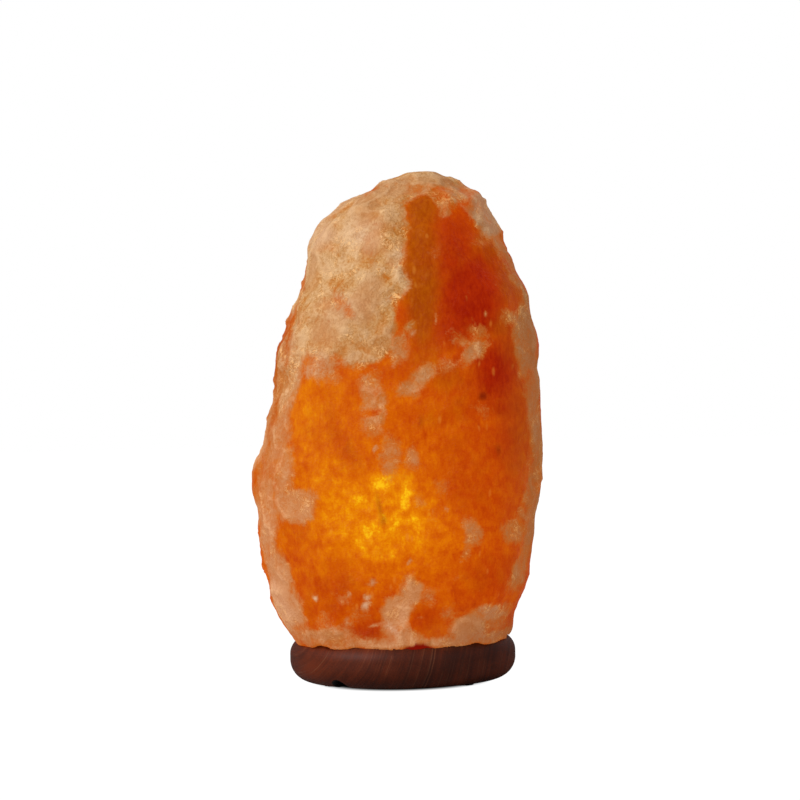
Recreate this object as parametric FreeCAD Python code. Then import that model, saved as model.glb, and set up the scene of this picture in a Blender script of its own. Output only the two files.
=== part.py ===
import FreeCAD, Part
import math
import os
from FreeCAD import Vector

# Salt crystal lamp, in millimetres. +Z is up, the origin is on the base's axis at the level the lamp
# stands on, and -Y is the side that faces the viewer. A hewn block of rock salt stands on a turned
# wooden base. A bulb in a screw holder reaches up into a hole drilled in the salt. The holder is
# carried by a round steel plate and a sprung clip, which push up into the base from below.

# ---------------------------------------------------------------- sizes: wooden base and its feet
base_diameter = 112.0
base_thickness = 21.5
base_top_edge_radius = 8.0
base_bottom_edge_radius = 10.5
fitting_hole_diameter = 44.0
recess_ledge_width = 4.0
recess_depth = 10.0
mouth_chamfer = 0.8
cord_groove_width = 9.0
cord_groove_azimuth = 233.0
foot_diameter = 10.0
foot_thickness = 1.5
foot_circle_radius = 37.0

# ---------------------------------------------------------------- sizes: screws, base into salt
screw_count = 3
screw_circle_radius = 37.0
screw_first_azimuth = 23.0
screw_length = 34.0
screw_shank_diameter = 4.0
screw_head_diameter = 8.0
screw_point_length = 5.0
screw_sink_depth = 4.0
screw_slot_width = 1.1
screw_slot_depth = 1.4
screw_slot_length = 4.8
screw_hole_clearance = 0.2

# ---------------------------------------------------------------- sizes: salt block
crystal_height = 229.5
crystal_width = 145.0
crystal_depth = 122.0
crystal_seat_inset = 2.2
crystal_squareness = 2.5
crystal_columns = 16
crystal_swell = 0.016
cavity_step = 3.0
cavity_headroom = 13.0
cavity_end_cone = 10.0
seat_chip_depth = 9.0
leak_chip_width = 19.0
leak_chip_height = 2.6
leak_chip_azimuth = 275.0

# ---------------------------------------------------------------- sizes: plate, clip, nipple and nut
plate_recess_clearance = 1.5
plate_thickness = 1.0
plate_rim_height = 2.0
clip_width = 14.0
clip_thickness = 0.8
clip_bend_gap = 1.6
clip_wall_clearance = 0.3
clip_arm_rise = 8.0
clip_tip_rise = 13.0
clip_tip_gap = 2.2
nipple_diameter = 10.0
nipple_bore = 7.0
nipple_end_length = 1.5
nipple_entry_length = 6.0
nut_across_flats = 14.0
nut_thickness = 3.0
washer_diameter = 16.0
washer_thickness = 0.8
thread_clearance = 0.05

# ---------------------------------------------------------------- sizes: bulb
bulb_length = 60.0
bulb_diameter = 26.0
bulb_glass_wall = 0.6
bulb_neck_diameter = 12.6
bulb_cap_diameter = 13.8
bulb_cap_top = 22.0
bulb_cap_wall = 0.3
bulb_cap_flare = 1.0
bulb_insulator_height = 3.4
bulb_pip_diameter = 4.8
bulb_pip_height = 1.2
stem_tube_diameter = 4.6
stem_press_top = 33.0
stem_press_width = 7.0
stem_press_thickness = 2.4
filament_height = 46.0
filament_span = 15.0
filament_rise = 3.0
filament_coil_diameter = 0.9
lead_diameter = 0.7
lead_spacing = 3.6
support_diameter = 0.45

# ---------------------------------------------------------------- sizes: lampholder
holder_diameter = 26.0
holder_wall = 1.8
holder_cap_height = 16.0
holder_cap_floor = 5.0
holder_cap_edge_radius = 3.0
skirt_spigot_height = 4.0
skirt_spigot_wall = 1.5
skirt_ledge = 1.5
skirt_lip_thickness = 2.5
skirt_mouth_clearance = 0.4
skirt_flare_gap = 1.4
skirt_top_chamfer = 1.5
grip_flute_count = 12
grip_flute_radius = 1.2
grip_flute_height = 15.0
contact_block_height = 8.0
contact_block_clearance = 0.1
terminal_wall_gap = 1.4
terminal_head_diameter = 4.4
terminal_head_height = 2.0
terminal_slot_width = 0.8
terminal_slot_depth = 1.0
terminal_shank_diameter = 3.0
terminal_shank_length = 5.0
shell_wall = 0.4
shell_end_gap = 0.2
shell_flange_width = 2.0
shell_cap_clearance = 0.25
tongue_width = 4.5
tongue_thickness = 0.4
tongue_rise = 1.4
tongue_contact_gap = 0.05

# The length of the straight runs that the small round outlines of the holder and bulb are turned in.
turned_run = 3.0

# ---------------------------------------------------------------- levels and radii worked out from them
base_underside = foot_thickness
base_top = base_underside + base_thickness
fitting_hole_radius = fitting_hole_diameter / 2
recess_radius = fitting_hole_radius + recess_ledge_width
cavity_radius = fitting_hole_radius + cavity_step
seat_radius = base_diameter / 2 - crystal_seat_inset
plate_top = base_underside + recess_depth
plate_bottom = plate_top - plate_thickness
plate_radius = recess_radius - plate_recess_clearance
screw_foot = base_underside + screw_sink_depth
nipple_hole_radius = nipple_diameter / 2 + thread_clearance
holder_foot = plate_top + clip_thickness
holder_radius = holder_diameter / 2
holder_bore_radius = holder_radius - holder_wall
cap_top = holder_foot + holder_cap_height
spigot_radius = holder_bore_radius - thread_clearance
spigot_bore_radius = spigot_radius - skirt_spigot_wall
block_bottom = cap_top + skirt_ledge
block_top = block_bottom + contact_block_height
terminal_offset = spigot_bore_radius - terminal_wall_gap - terminal_head_diameter / 2
bulb_cap_radius = bulb_cap_diameter / 2
shell_bore_radius = bulb_cap_radius + shell_cap_clearance
bulb_tip = block_top + tongue_rise + tongue_thickness + tongue_contact_gap
bulb_top = bulb_tip + bulb_length
bulb_cap_foot = bulb_tip + bulb_pip_height + bulb_insulator_height
bulb_cap_end = bulb_tip + bulb_cap_top
bulb_flare_foot = bulb_cap_end - 2 * bulb_cap_flare
glass_foot = bulb_tip + bulb_cap_top / 2
press_top = bulb_tip + stem_press_top
lead_top = bulb_tip + filament_height
skirt_top = bulb_flare_foot - skirt_flare_gap
lip_underside = skirt_top - skirt_lip_thickness
cavity_top = bulb_top + cavity_headroom

# The block's outline, from just above its seat to its top: share of the height, then how far it
# reaches to the left, right, front and back, as shares of half the width (left, right) and half the
# depth (front, back). A minus sign means that it stops short of the axis.
crystal_outline = [
    (0.045, 0.850, 0.790, 0.89, 0.88),
    (0.100, 0.920, 0.875, 0.94, 0.92),
    (0.180, 0.968, 0.912, 0.99, 0.96),
    (0.270, 0.985, 0.955, 1.02, 0.98),
    (0.345, 1.022, 0.990, 1.03, 0.98),
    (0.410, 0.945, 0.998, 1.02, 0.97),
    (0.480, 0.895, 0.990, 1.00, 0.95),
    (0.580, 0.840, 0.980, 0.97, 0.92),
    (0.660, 0.768, 0.957, 0.93, 0.87),
    (0.745, 0.665, 0.903, 0.86, 0.80),
    (0.830, 0.597, 0.785, 0.78, 0.70),
    (0.890, 0.512, 0.725, 0.69, 0.60),
    (0.935, 0.365, 0.648, 0.58, 0.49),
    (0.975, 0.115, 0.500, 0.42, 0.35),
    (1.000, -0.120, 0.290, 0.20, 0.16),
]

# Flats split off the block with a chisel: azimuth and elevation in degrees of the way each one faces,
# and how deep it bites, in millimetres.
hewn_flats = [
    (204, 6, 3.4),
    (228, -3, 3.4),
    (252, 5, 2.0),
    (277, 1, 3.0),
    (303, 4, 3.4),
    (331, 9, 2.6),
    (160, 9, 3.0),
    (130, 3, 3.8),
    (99, 7, 2.6),
    (68, 1, 3.4),
    (36, 6, 3.4),
    (236, 22, 3.8),
    (272, 27, 3.0),
    (308, 25, 3.8),
    (345, 29, 2.0),
    (20, 31, 3.2),
    (62, 26, 3.6),
    (108, 30, 3.0),
    (150, 38, 3.4),
    (205, 42, 2.6),
    (258, 50, 3.0),
    (318, 55, 2.4),
    (80, 60, 2.6),
    (215, -22, 2.6),
    (254, -26, 2.0),
    (297, -24, 2.8),
    (338, -28, 1.8),
    (27, -23, 2.6),
    (76, -27, 2.6),
    (124, -22, 2.8),
    (168, -28, 1.8),
]

# Chips round the bottom edge of the salt: azimuth, width and height.
seat_chips = [
    (leak_chip_azimuth, leak_chip_width, leak_chip_height),
    (249, 15.0, 1.3),
    (224, 13.0, 2.0),
    (306, 22.0, 1.6),
    (352, 16.0, 2.2),
    (38, 24.0, 1.8),
    (96, 15.0, 2.4),
    (151, 20.0, 1.6),
    (191, 14.0, 2.2),
]


# ---------------------------------------------------------------- small helpers
def disc(radius, bottom, top, x=0.0, y=0.0):
    return Part.makeCylinder(radius, top - bottom, Vector(x, y, bottom))


def turned(points):
    """A solid of revolution about Z, from its closed outline as (radius, height) points."""
    corners = [Vector(radius, 0, height) for radius, height in points]
    face = Part.Face(Part.makePolygon(corners + corners[:1]))
    return face.revolve(Vector(0, 0, 0), Vector(0, 0, 1), 360)


def rounded(centre, radius, start, end):
    """The points of an arc in a turned outline, between two angles in degrees."""
    first, sweep = math.radians(start), math.radians(end - start)
    runs = max(2, round(radius * abs(sweep) / turned_run))
    points = []
    for k in range(runs + 1):
        turn = first + sweep * k / runs
        points.append((centre[0] + radius * math.cos(turn), centre[1] + radius * math.sin(turn)))
    return points


def round_about(count, radius, first_azimuth):
    """Places evenly spaced on a circle about the axis."""
    for k in range(count):
        turn = math.radians(first_azimuth + 360.0 * k / count)
        yield radius * math.cos(turn), radius * math.sin(turn)


def bent_strip(points, thickness, width):
    """Sheet metal bent along a line of (x, z) points, with its thickness above that line."""
    path = Part.makePolygon([Vector(x, -width / 2, z) for x, z in points])
    face = path.makeOffset2D(thickness, 0, True, True)
    return face.extrude(Vector(0, width, 0))


def rod(start, end, diameter):
    """Round wire between two points, longer than that at each end by its own diameter."""
    ahead = (Vector(*end) - Vector(*start)).normalize()
    foot = Vector(*start) - ahead * diameter
    length = (Vector(*end) - Vector(*start)).Length + 2 * diameter
    return Part.makeCylinder(diameter / 2, length, foot, ahead)


# ---------------------------------------------------------------- wooden base, feet and screws
def rim(shape, level):
    """The outer edge of a turned disc at one level."""
    circles = [edge for edge in shape.Edges if isinstance(edge.Curve, Part.Circle)]
    outer = max(edge.Curve.Radius for edge in circles)
    return [
        edge
        for edge in circles
        if math.isclose(edge.Curve.Radius, outer) and math.isclose(edge.Curve.Center.z, level)
    ]


def wood_base():
    base = turned(
        [
            (recess_radius + mouth_chamfer, base_underside),
            (base_diameter / 2, base_underside),
            (base_diameter / 2, base_top),
            (fitting_hole_radius + mouth_chamfer, base_top),
            (fitting_hole_radius, base_top - mouth_chamfer),
            (fitting_hole_radius, plate_top),
            (recess_radius, plate_top),
            (recess_radius, base_underside + mouth_chamfer),
        ]
    )
    base = base.makeFillet(base_bottom_edge_radius, rim(base, base_underside))
    base = base.makeFillet(base_top_edge_radius, rim(base, base_top))
    base = base.cut(cord_groove())
    for x, y in round_about(screw_count, screw_circle_radius, screw_first_azimuth):
        base = base.cut(screw_hole(x, y))
    return base


def cord_groove():
    """A half-round channel under the base, from the recess out through the rim."""
    radius = cord_groove_width / 2
    start = recess_radius - radius
    length = base_diameter / 2 - start + radius
    groove = Part.makeCylinder(radius, length, Vector(start, 0, base_underside), Vector(1, 0, 0))
    groove.rotate(Vector(0, 0, 0), Vector(0, 0, 1), cord_groove_azimuth)
    return groove


def screw_outline(clearance):
    """Outline of a countersunk screw that points up, from the axis out, as (radius, height) points."""
    head = screw_head_diameter / 2 + clearance
    shank = screw_shank_diameter / 2 + clearance
    return [
        (0, screw_foot),
        (head, screw_foot),
        (shank, screw_foot + head - shank),
        (shank, screw_foot + screw_length - screw_point_length),
        (0, screw_foot + screw_length),
    ]


def screw_hole(x, y):
    """The hole of a sunk screw: the screw's outline with clearance, open down through the underside."""
    wide = screw_head_diameter / 2 + screw_hole_clearance
    hole = turned([(0, base_underside), (wide, base_underside)] + screw_outline(screw_hole_clearance)[1:])
    hole.translate(Vector(x, y, 0))
    return hole


def base_screws():
    screws = []
    for x, y in round_about(screw_count, screw_circle_radius, screw_first_azimuth):
        screw = turned(screw_outline(0.0))
        for long_x, long_y in (
            (screw_slot_length, screw_slot_width),
            (screw_slot_width, screw_slot_length),
        ):
            corner = Vector(-long_x / 2, -long_y / 2, screw_foot)
            screw = screw.cut(Part.makeBox(long_x, long_y, screw_slot_depth, corner))
        screw.translate(Vector(x, y, 0))
        screws.append(screw)
    return Part.makeCompound(screws)


def felt_feet():
    """Glued pads, each halfway between two screws."""
    first = screw_first_azimuth + 180.0 / screw_count
    pads = []
    for x, y in round_about(screw_count, foot_circle_radius, first):
        pads.append(disc(foot_diameter / 2, 0, foot_thickness, x, y))
    return Part.makeCompound(pads)


# ---------------------------------------------------------------- salt block
def crystal_ring(row, share, left, right, front, back):
    """Points round the block at one height: a squarish oval with an uneven swell, which leaves the
    reach to the left and right as it is. Every other row is turned by half a column."""
    middle, half_width = (right - left) / 2, (right + left) / 2
    points = []
    for k in range(crystal_columns):
        turn = 2 * math.pi * (k + row % 2 / 2) / crystal_columns
        c, s = math.cos(turn), math.sin(turn)
        half_depth = back if s > 0 else front
        power = crystal_squareness
        radius = (abs(c / half_width) ** power + abs(s / half_depth) ** power) ** (-1 / power)
        swell = math.cos(3 * turn + 0.9 * row) + math.cos(5 * turn - 1.7 * row + 1)
        radius *= 1 + crystal_swell * swell * (1 - abs(c) ** 3)
        points.append(Vector(middle + radius * c, radius * s, base_top + share * crystal_height))
    return points


def crystal_rings():
    rings = [crystal_ring(0, 0.0, seat_radius, seat_radius, seat_radius, seat_radius)]
    half_width, half_depth = crystal_width / 2, crystal_depth / 2
    for row, (share, left, right, front, back) in enumerate(crystal_outline, 1):
        reach = (left * half_width, right * half_width, front * half_depth, back * half_depth)
        rings.append(crystal_ring(row, share, *reach))
    return rings


def rough_block(rings):
    """A closed solid of triangles from ring to ring, with a flat seat and a flat top."""
    count = crystal_columns
    triangles = []
    for row in range(len(rings) - 1):
        low, high = row * count, (row + 1) * count
        for k in range(count):
            n = (k + 1) % count
            if row % 2 == 0:
                triangles += [(low + k, low + n, high + k), (low + n, high + n, high + k)]
            else:
                triangles += [(low + k, high + n, high + k), (low + k, low + n, high + n)]
    sides = Part.Shape()
    sides.makeShapeFromMesh(([point for ring in rings for point in ring], triangles), 0.001)
    seat = Part.Face(Part.makePolygon(rings[0][::-1] + rings[0][-1:]))
    top = Part.Face(Part.makePolygon(rings[-1] + rings[-1][:1]))
    shell = Part.Shell(sides.Faces + [seat, top])
    shell.sewShape()
    return Part.Solid(shell)


def facing(azimuth, elevation):
    a, e = math.radians(azimuth), math.radians(elevation)
    return Vector(math.cos(a) * math.cos(e), math.sin(a) * math.cos(e), math.sin(e))


def beyond(direction, distance):
    """Everything past a plane that faces direction, at that distance from the origin."""
    size = 6 * max(crystal_height, crystal_width, crystal_depth)
    block = Part.makeBox(size, size, size, Vector(-size / 2, -size / 2, 0))
    turn = FreeCAD.Rotation(Vector(0, 0, 1), direction)
    block.Placement = FreeCAD.Placement(Vector(direction) * distance, turn)
    return block


def seat_chip(azimuth, width, height):
    """A flat-arched notch in the block's bottom edge, cut from outside towards the axis."""
    radius = (width * width / 4 + height * height) / (2 * height)
    start = Vector(seat_radius - seat_chip_depth, 0, base_top + height - radius)
    notch = Part.makeCylinder(radius, crystal_width, start, Vector(1, 0, 0))
    notch.rotate(Vector(0, 0, 0), Vector(0, 0, 1), azimuth)
    return notch


def drilled_cavity():
    return turned(
        [
            (0, base_top - 1),
            (cavity_radius, base_top - 1),
            (cavity_radius, cavity_top - cavity_end_cone),
            (0, cavity_top),
        ]
    )


def salt_crystal():
    """The hewn block, set with its middle over the base's axis, then drilled and chipped below."""
    rings = crystal_rings()
    points = [point for ring in rings for point in ring]
    block = rough_block(rings)
    for azimuth, elevation, bite in hewn_flats:
        direction = facing(azimuth, elevation)
        reach = max(point.dot(direction) for point in points)
        block = block.cut(beyond(direction, reach - bite))
    middle = block.BoundBox.Center
    block.translate(Vector(-middle.x, -middle.y, 0))
    block = block.cut(drilled_cavity())
    for azimuth, width, height in seat_chips:
        block = block.cut(seat_chip(azimuth, width, height))
    for x, y in round_about(screw_count, screw_circle_radius, screw_first_azimuth):
        block = block.cut(screw_hole(x, y))
    return block.Solids[0]


# ---------------------------------------------------------------- plate, clip, nipple and nut
def cover_plate():
    """A pressed steel disc with a turned-down rim, which stops against the step in the base."""
    inner = plate_radius - plate_thickness
    return turned(
        [
            (nipple_hole_radius, plate_bottom),
            (inner, plate_bottom),
            (inner, plate_bottom - plate_rim_height),
            (plate_radius, plate_bottom - plate_rim_height),
            (plate_radius, plate_top),
            (nipple_hole_radius, plate_top),
        ]
    )


def spring_clip():
    """A strip bent into two arms, which go out to the wall of the hole and back in past the holder."""
    wall = fitting_hole_radius - clip_wall_clearance
    knee = math.sqrt(wall * wall - clip_width * clip_width / 4)
    right = [
        (holder_radius + clip_bend_gap, plate_top),
        (knee, plate_top + clip_arm_rise),
        (holder_radius + clip_tip_gap + clip_thickness, plate_top + clip_arm_rise + clip_tip_rise),
    ]
    left = [(-x, z) for x, z in reversed(right)]
    strip = bent_strip(left + right, clip_thickness, clip_width)
    return strip.cut(disc(nipple_hole_radius, plate_top - 1, holder_foot + 1))


def entry_nipple():
    bottom = plate_bottom - washer_thickness - nut_thickness - nipple_end_length
    top = holder_foot + nipple_entry_length
    return disc(nipple_diameter / 2, bottom, top).cut(disc(nipple_bore / 2, bottom, top))


def nipple_nut():
    top = plate_bottom - washer_thickness
    corner_radius = nut_across_flats / math.sqrt(3)
    corners = [Vector(x, y, top - nut_thickness) for x, y in round_about(6, corner_radius, 0)]
    hexagon = Part.Face(Part.makePolygon(corners + corners[:1]))
    nut = hexagon.extrude(Vector(0, 0, nut_thickness))
    return nut.cut(disc(nipple_hole_radius, top - nut_thickness, top))


def lock_washer():
    bottom = plate_bottom - washer_thickness
    washer = disc(washer_diameter / 2, bottom, plate_bottom)
    return washer.cut(disc(nipple_hole_radius, bottom, plate_bottom))


# ---------------------------------------------------------------- lampholder
def holder_cap():
    """The holder's lower half: a cup with a thick threaded floor, which screws onto the nipple."""
    edge, floor = holder_cap_edge_radius, holder_foot + holder_cap_floor
    outline = [(nipple_hole_radius, holder_foot)]
    outline += rounded((holder_radius - edge, holder_foot + edge), edge, -90, 0)
    outline += [
        (holder_radius, cap_top),
        (holder_bore_radius, cap_top),
        (holder_bore_radius, floor),
        (nipple_hole_radius, floor),
    ]
    return turned(outline)


def holder_skirt():
    """The holder's upper half: a ring that screws down into the cap, with a ledge under the contact
    block, a lip over the threaded shell and grip flutes outside."""
    mouth = bulb_cap_radius + skirt_mouth_clearance
    skirt = turned(
        [
            (spigot_bore_radius, cap_top - skirt_spigot_height),
            (spigot_radius, cap_top - skirt_spigot_height),
            (spigot_radius, cap_top),
            (holder_radius, cap_top),
            (holder_radius, skirt_top - skirt_top_chamfer),
            (holder_radius - skirt_top_chamfer, skirt_top),
            (mouth, skirt_top),
            (mouth, lip_underside),
            (holder_bore_radius, lip_underside),
            (holder_bore_radius, block_bottom),
            (spigot_bore_radius, block_bottom),
        ]
    )
    for x, y in round_about(grip_flute_count, holder_radius + grip_flute_radius / 3, 0):
        skirt = skirt.cut(disc(grip_flute_radius, cap_top, cap_top + grip_flute_height, x, y))
    return skirt


def contact_block():
    """The insulating block that holds the contacts, with the terminal screws' holes underneath."""
    block = disc(holder_bore_radius - contact_block_clearance, block_bottom, block_top)
    hole_radius = terminal_shank_diameter / 2 + thread_clearance
    hole_top = block_bottom + terminal_shank_length + thread_clearance
    for y in (-terminal_offset, terminal_offset):
        block = block.cut(disc(hole_radius, block_bottom, hole_top, 0, y))
    return block


def terminal_screws():
    screws = []
    foot = block_bottom - terminal_head_height
    for y in (-terminal_offset, terminal_offset):
        head = disc(terminal_head_diameter / 2, foot, block_bottom, 0, y)
        corner = Vector(-terminal_head_diameter / 2, y - terminal_slot_width / 2, foot)
        slot = Part.makeBox(terminal_head_diameter, terminal_slot_width, terminal_slot_depth, corner)
        shank = disc(terminal_shank_diameter / 2, block_bottom, block_bottom + terminal_shank_length, 0, y)
        screws.append(head.cut(slot).fuse(shank))
    return Part.makeCompound(screws)


def screw_shell():
    """The brass sleeve that takes the bulb's cap, flanged where it stands on the contact block."""
    outside = shell_bore_radius + shell_wall
    top = lip_underside - shell_end_gap
    return turned(
        [
            (shell_bore_radius, block_top),
            (outside + shell_flange_width, block_top),
            (outside + shell_flange_width, block_top + shell_wall),
            (outside, block_top + shell_wall),
            (outside, top),
            (shell_bore_radius, top),
        ]
    )


def centre_contact():
    """A sprung tongue fixed at one side, whose raised end meets the bulb's solder pip."""
    reach = math.sqrt(shell_bore_radius**2 - tongue_width**2 / 4) - shell_cap_clearance
    line = [
        (-reach, block_top),
        (-reach / 2, block_top),
        (-reach / 6, block_top + tongue_rise),
        (reach / 2, block_top + tongue_rise),
    ]
    return bent_strip(line, tongue_thickness, tongue_width)


# ---------------------------------------------------------------- bulb
def bulb_contact():
    """The solder pip in the middle of the cap's end: a shallow ball segment."""
    half, height = bulb_pip_diameter / 2, bulb_pip_height
    bend = (half * half + height * height) / (2 * height)
    edge = math.degrees(math.asin(half / bend))
    return turned(rounded((0, bulb_tip + bend), bend, -90, edge - 90) + [(0, bulb_tip + height)])


def bulb_insulator():
    """The black glass cone between the pip and the threaded cap."""
    bottom = bulb_tip + bulb_pip_height
    foot = (bulb_pip_diameter + bulb_cap_radius) / 3
    return turned([(0, bottom), (foot, bottom), (bulb_cap_radius, bulb_cap_foot), (0, bulb_cap_foot)])


def bulb_cap():
    """The metal cap, open at both ends and flared at the top round the glass."""
    outside, inside = bulb_cap_radius, bulb_cap_radius - bulb_cap_wall
    flare_top = bulb_flare_foot + bulb_cap_flare
    return turned(
        [
            (inside, bulb_cap_foot),
            (outside, bulb_cap_foot),
            (outside, bulb_flare_foot),
            (outside + bulb_cap_flare, flare_top),
            (outside + bulb_cap_flare, bulb_cap_end),
            (inside + bulb_cap_flare, bulb_cap_end),
            (inside + bulb_cap_flare, flare_top),
            (inside, bulb_flare_foot),
        ]
    )


def basing_cement():
    """The ring of cement that fixes the glass neck in the cap."""
    glass, cap = bulb_neck_diameter / 2, bulb_cap_radius - bulb_cap_wall
    return disc(cap, glass_foot, bulb_flare_foot).cut(disc(glass, glass_foot, bulb_flare_foot))


def glass_outline(inset):
    """The bulb's outline from its neck up to the top of its dome, moved in by inset."""
    neck, belly = bulb_neck_diameter / 2 - inset, bulb_diameter / 2 - inset
    widest = bulb_top - bulb_diameter / 2
    runs = max(3, round((widest - bulb_flare_foot) / (2 * turned_run)))
    points = [(neck, glass_foot)]
    for k in range(runs):
        share = k / runs
        radius = neck + (belly - neck) * math.sin(math.pi / 2 * share)
        points.append((radius, bulb_flare_foot + (widest - bulb_flare_foot) * share))
    return points + rounded((0, widest), belly, 0, 90)


def bulb_glass():
    return turned(glass_outline(0.0) + glass_outline(bulb_glass_wall)[::-1])


def bulb_stem():
    """The glass stem: a flared foot sealed in the neck, a tube, and the flat press that grips the wires."""
    neck = bulb_neck_diameter / 2 - bulb_glass_wall
    tube = stem_tube_diameter / 2
    press_foot = press_top - stem_press_width
    stem = turned(
        [
            (0, glass_foot),
            (neck, glass_foot),
            (neck, glass_foot + bulb_glass_wall),
            (tube, glass_foot + neck),
            (tube, press_foot + tube),
            (0, press_foot + tube),
        ]
    )
    corner = Vector(-stem_press_width / 2, -stem_press_thickness / 2, press_foot)
    return stem.fuse(Part.makeBox(stem_press_width, stem_press_thickness, stem_press_width, corner))


def bulb_lead_wires():
    """Two wires that lean apart, cut off level at the press and under the filament."""
    slab = disc(bulb_diameter, press_top, lead_top)
    near, far = lead_spacing / 2, filament_span / 2
    wires = []
    for side in (-1, 1):
        wire = rod((side * near, 0, press_top), (side * far, 0, lead_top), lead_diameter)
        wires.append(wire.common(slab))
    return Part.makeCompound(wires)


def bulb_filament():
    """The coiled filament, as the outside of its coil: two straight halves that meet at the top of a
    low arch and rest on the lead wires' ends."""
    half = filament_span / 2
    level = lead_top + filament_coil_diameter / 2
    peak = (0, 0, level + filament_rise)
    size = bulb_diameter
    halves = []
    for side in (-1, 1):
        corner = Vector(min(0, side * size), -size / 2, lead_top)
        room = Part.makeBox(size, size, size, corner)
        halves.append(rod((side * half, 0, level), peak, filament_coil_diameter).common(room))
    return halves[0].fuse(halves[1])


def bulb_support_wire():
    """A thin wire from the press, which holds the filament's arch up in the middle."""
    half = filament_span / 2
    slope = math.hypot(filament_rise, half) / half
    under_filament = lead_top + filament_rise + filament_coil_diameter / 2 * (1 - slope)
    under_filament -= support_diameter / 2 * filament_rise / half
    return disc(support_diameter / 2, press_top, under_filament)


# ---------------------------------------------------------------- every piece, under its own name
pieces = {
    "salt_crystal": salt_crystal,
    "wood_base": wood_base,
    "base_screws": base_screws,
    "felt_feet": felt_feet,
    "cover_plate": cover_plate,
    "spring_clip": spring_clip,
    "entry_nipple": entry_nipple,
    "nipple_nut": nipple_nut,
    "lock_washer": lock_washer,
    "holder_cap": holder_cap,
    "holder_skirt": holder_skirt,
    "contact_block": contact_block,
    "terminal_screws": terminal_screws,
    "screw_shell": screw_shell,
    "centre_contact": centre_contact,
    "bulb_contact": bulb_contact,
    "bulb_insulator": bulb_insulator,
    "bulb_cap": bulb_cap,
    "basing_cement": basing_cement,
    "bulb_glass": bulb_glass,
    "bulb_stem": bulb_stem,
    "bulb_lead_wires": bulb_lead_wires,
    "bulb_filament": bulb_filament,
    "bulb_support_wire": bulb_support_wire,
}

os.makedirs("parts", exist_ok=True)
for name, make in pieces.items():
    make().exportStep(f"parts/{name}.step")
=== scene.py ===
import math

import bmesh
import bpy
import numpy as np
from mathutils import Matrix, Vector


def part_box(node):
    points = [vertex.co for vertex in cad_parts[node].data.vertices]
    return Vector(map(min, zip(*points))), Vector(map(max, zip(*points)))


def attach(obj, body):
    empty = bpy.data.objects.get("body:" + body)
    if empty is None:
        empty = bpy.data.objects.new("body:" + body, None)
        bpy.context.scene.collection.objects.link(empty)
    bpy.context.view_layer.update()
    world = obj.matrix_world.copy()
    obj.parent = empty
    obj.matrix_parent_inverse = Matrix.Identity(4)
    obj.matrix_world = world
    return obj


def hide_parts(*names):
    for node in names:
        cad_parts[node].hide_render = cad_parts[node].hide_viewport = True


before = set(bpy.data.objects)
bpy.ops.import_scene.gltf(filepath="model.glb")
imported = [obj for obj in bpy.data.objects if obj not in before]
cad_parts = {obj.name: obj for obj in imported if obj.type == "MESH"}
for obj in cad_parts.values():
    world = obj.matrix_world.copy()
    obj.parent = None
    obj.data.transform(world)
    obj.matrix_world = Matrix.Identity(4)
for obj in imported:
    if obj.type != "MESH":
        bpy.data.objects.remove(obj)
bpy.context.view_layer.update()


# ---------------------------------------------------------------- camera
# The lamp was photographed with a long lens from a little above its base, and the camera was tilted
# a degree or so. Distances are in metres, and the lamp faces -Y.
camera_distance = 1.5
camera_elevation = math.radians(6.67)
camera_pitch = math.radians(1.38)
camera_roll = math.radians(-1.22)
camera_yaw = math.radians(-0.05)
camera_lens = 135.0
base_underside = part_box("wood_base")[0].z

camera = bpy.data.objects.new("camera", bpy.data.cameras.new("camera"))
bpy.context.scene.collection.objects.link(camera)
camera.data.lens = camera_lens
camera.data.clip_start = 0.05
camera.matrix_world = (
    Matrix.Translation((
        0.0,
        -camera_distance * math.cos(camera_elevation),
        base_underside + camera_distance * math.sin(camera_elevation),
    ))
    @ Matrix.Rotation(camera_yaw, 4, "Z")
    @ Matrix.Rotation(math.pi / 2 - camera_pitch, 4, "X")
    @ Matrix.Rotation(camera_roll, 4, "Z")
)
bpy.context.scene.camera = camera


# ---------------------------------------------------------------- studio
# A white sweep in soft light: one large box light high on the left, a weaker one on the right, and
# even light from all round. The camera sees the floor's own even glow, cut out under the lamp to a painted
# shadow.
air_brightness = 0.27
floor_size = 6.0
floor_glow = 1.06
floor_bounce = (0.42, 0.42, 0.42)
# The painted shadow on the floor under the lamp: its radius and its soft edge.
shade_radius, shade_edge = 0.034, 0.012
key_light = (-1.05, -0.80, 0.95, 0.50, 13.9)
fill_light = (0.80, -0.90, 0.45, 0.60, 0.9)
rim_light = (0.55, 0.90, 0.95, 0.70, 0.9)
light_target = Vector((0.0, 0.0, 0.12))


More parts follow.
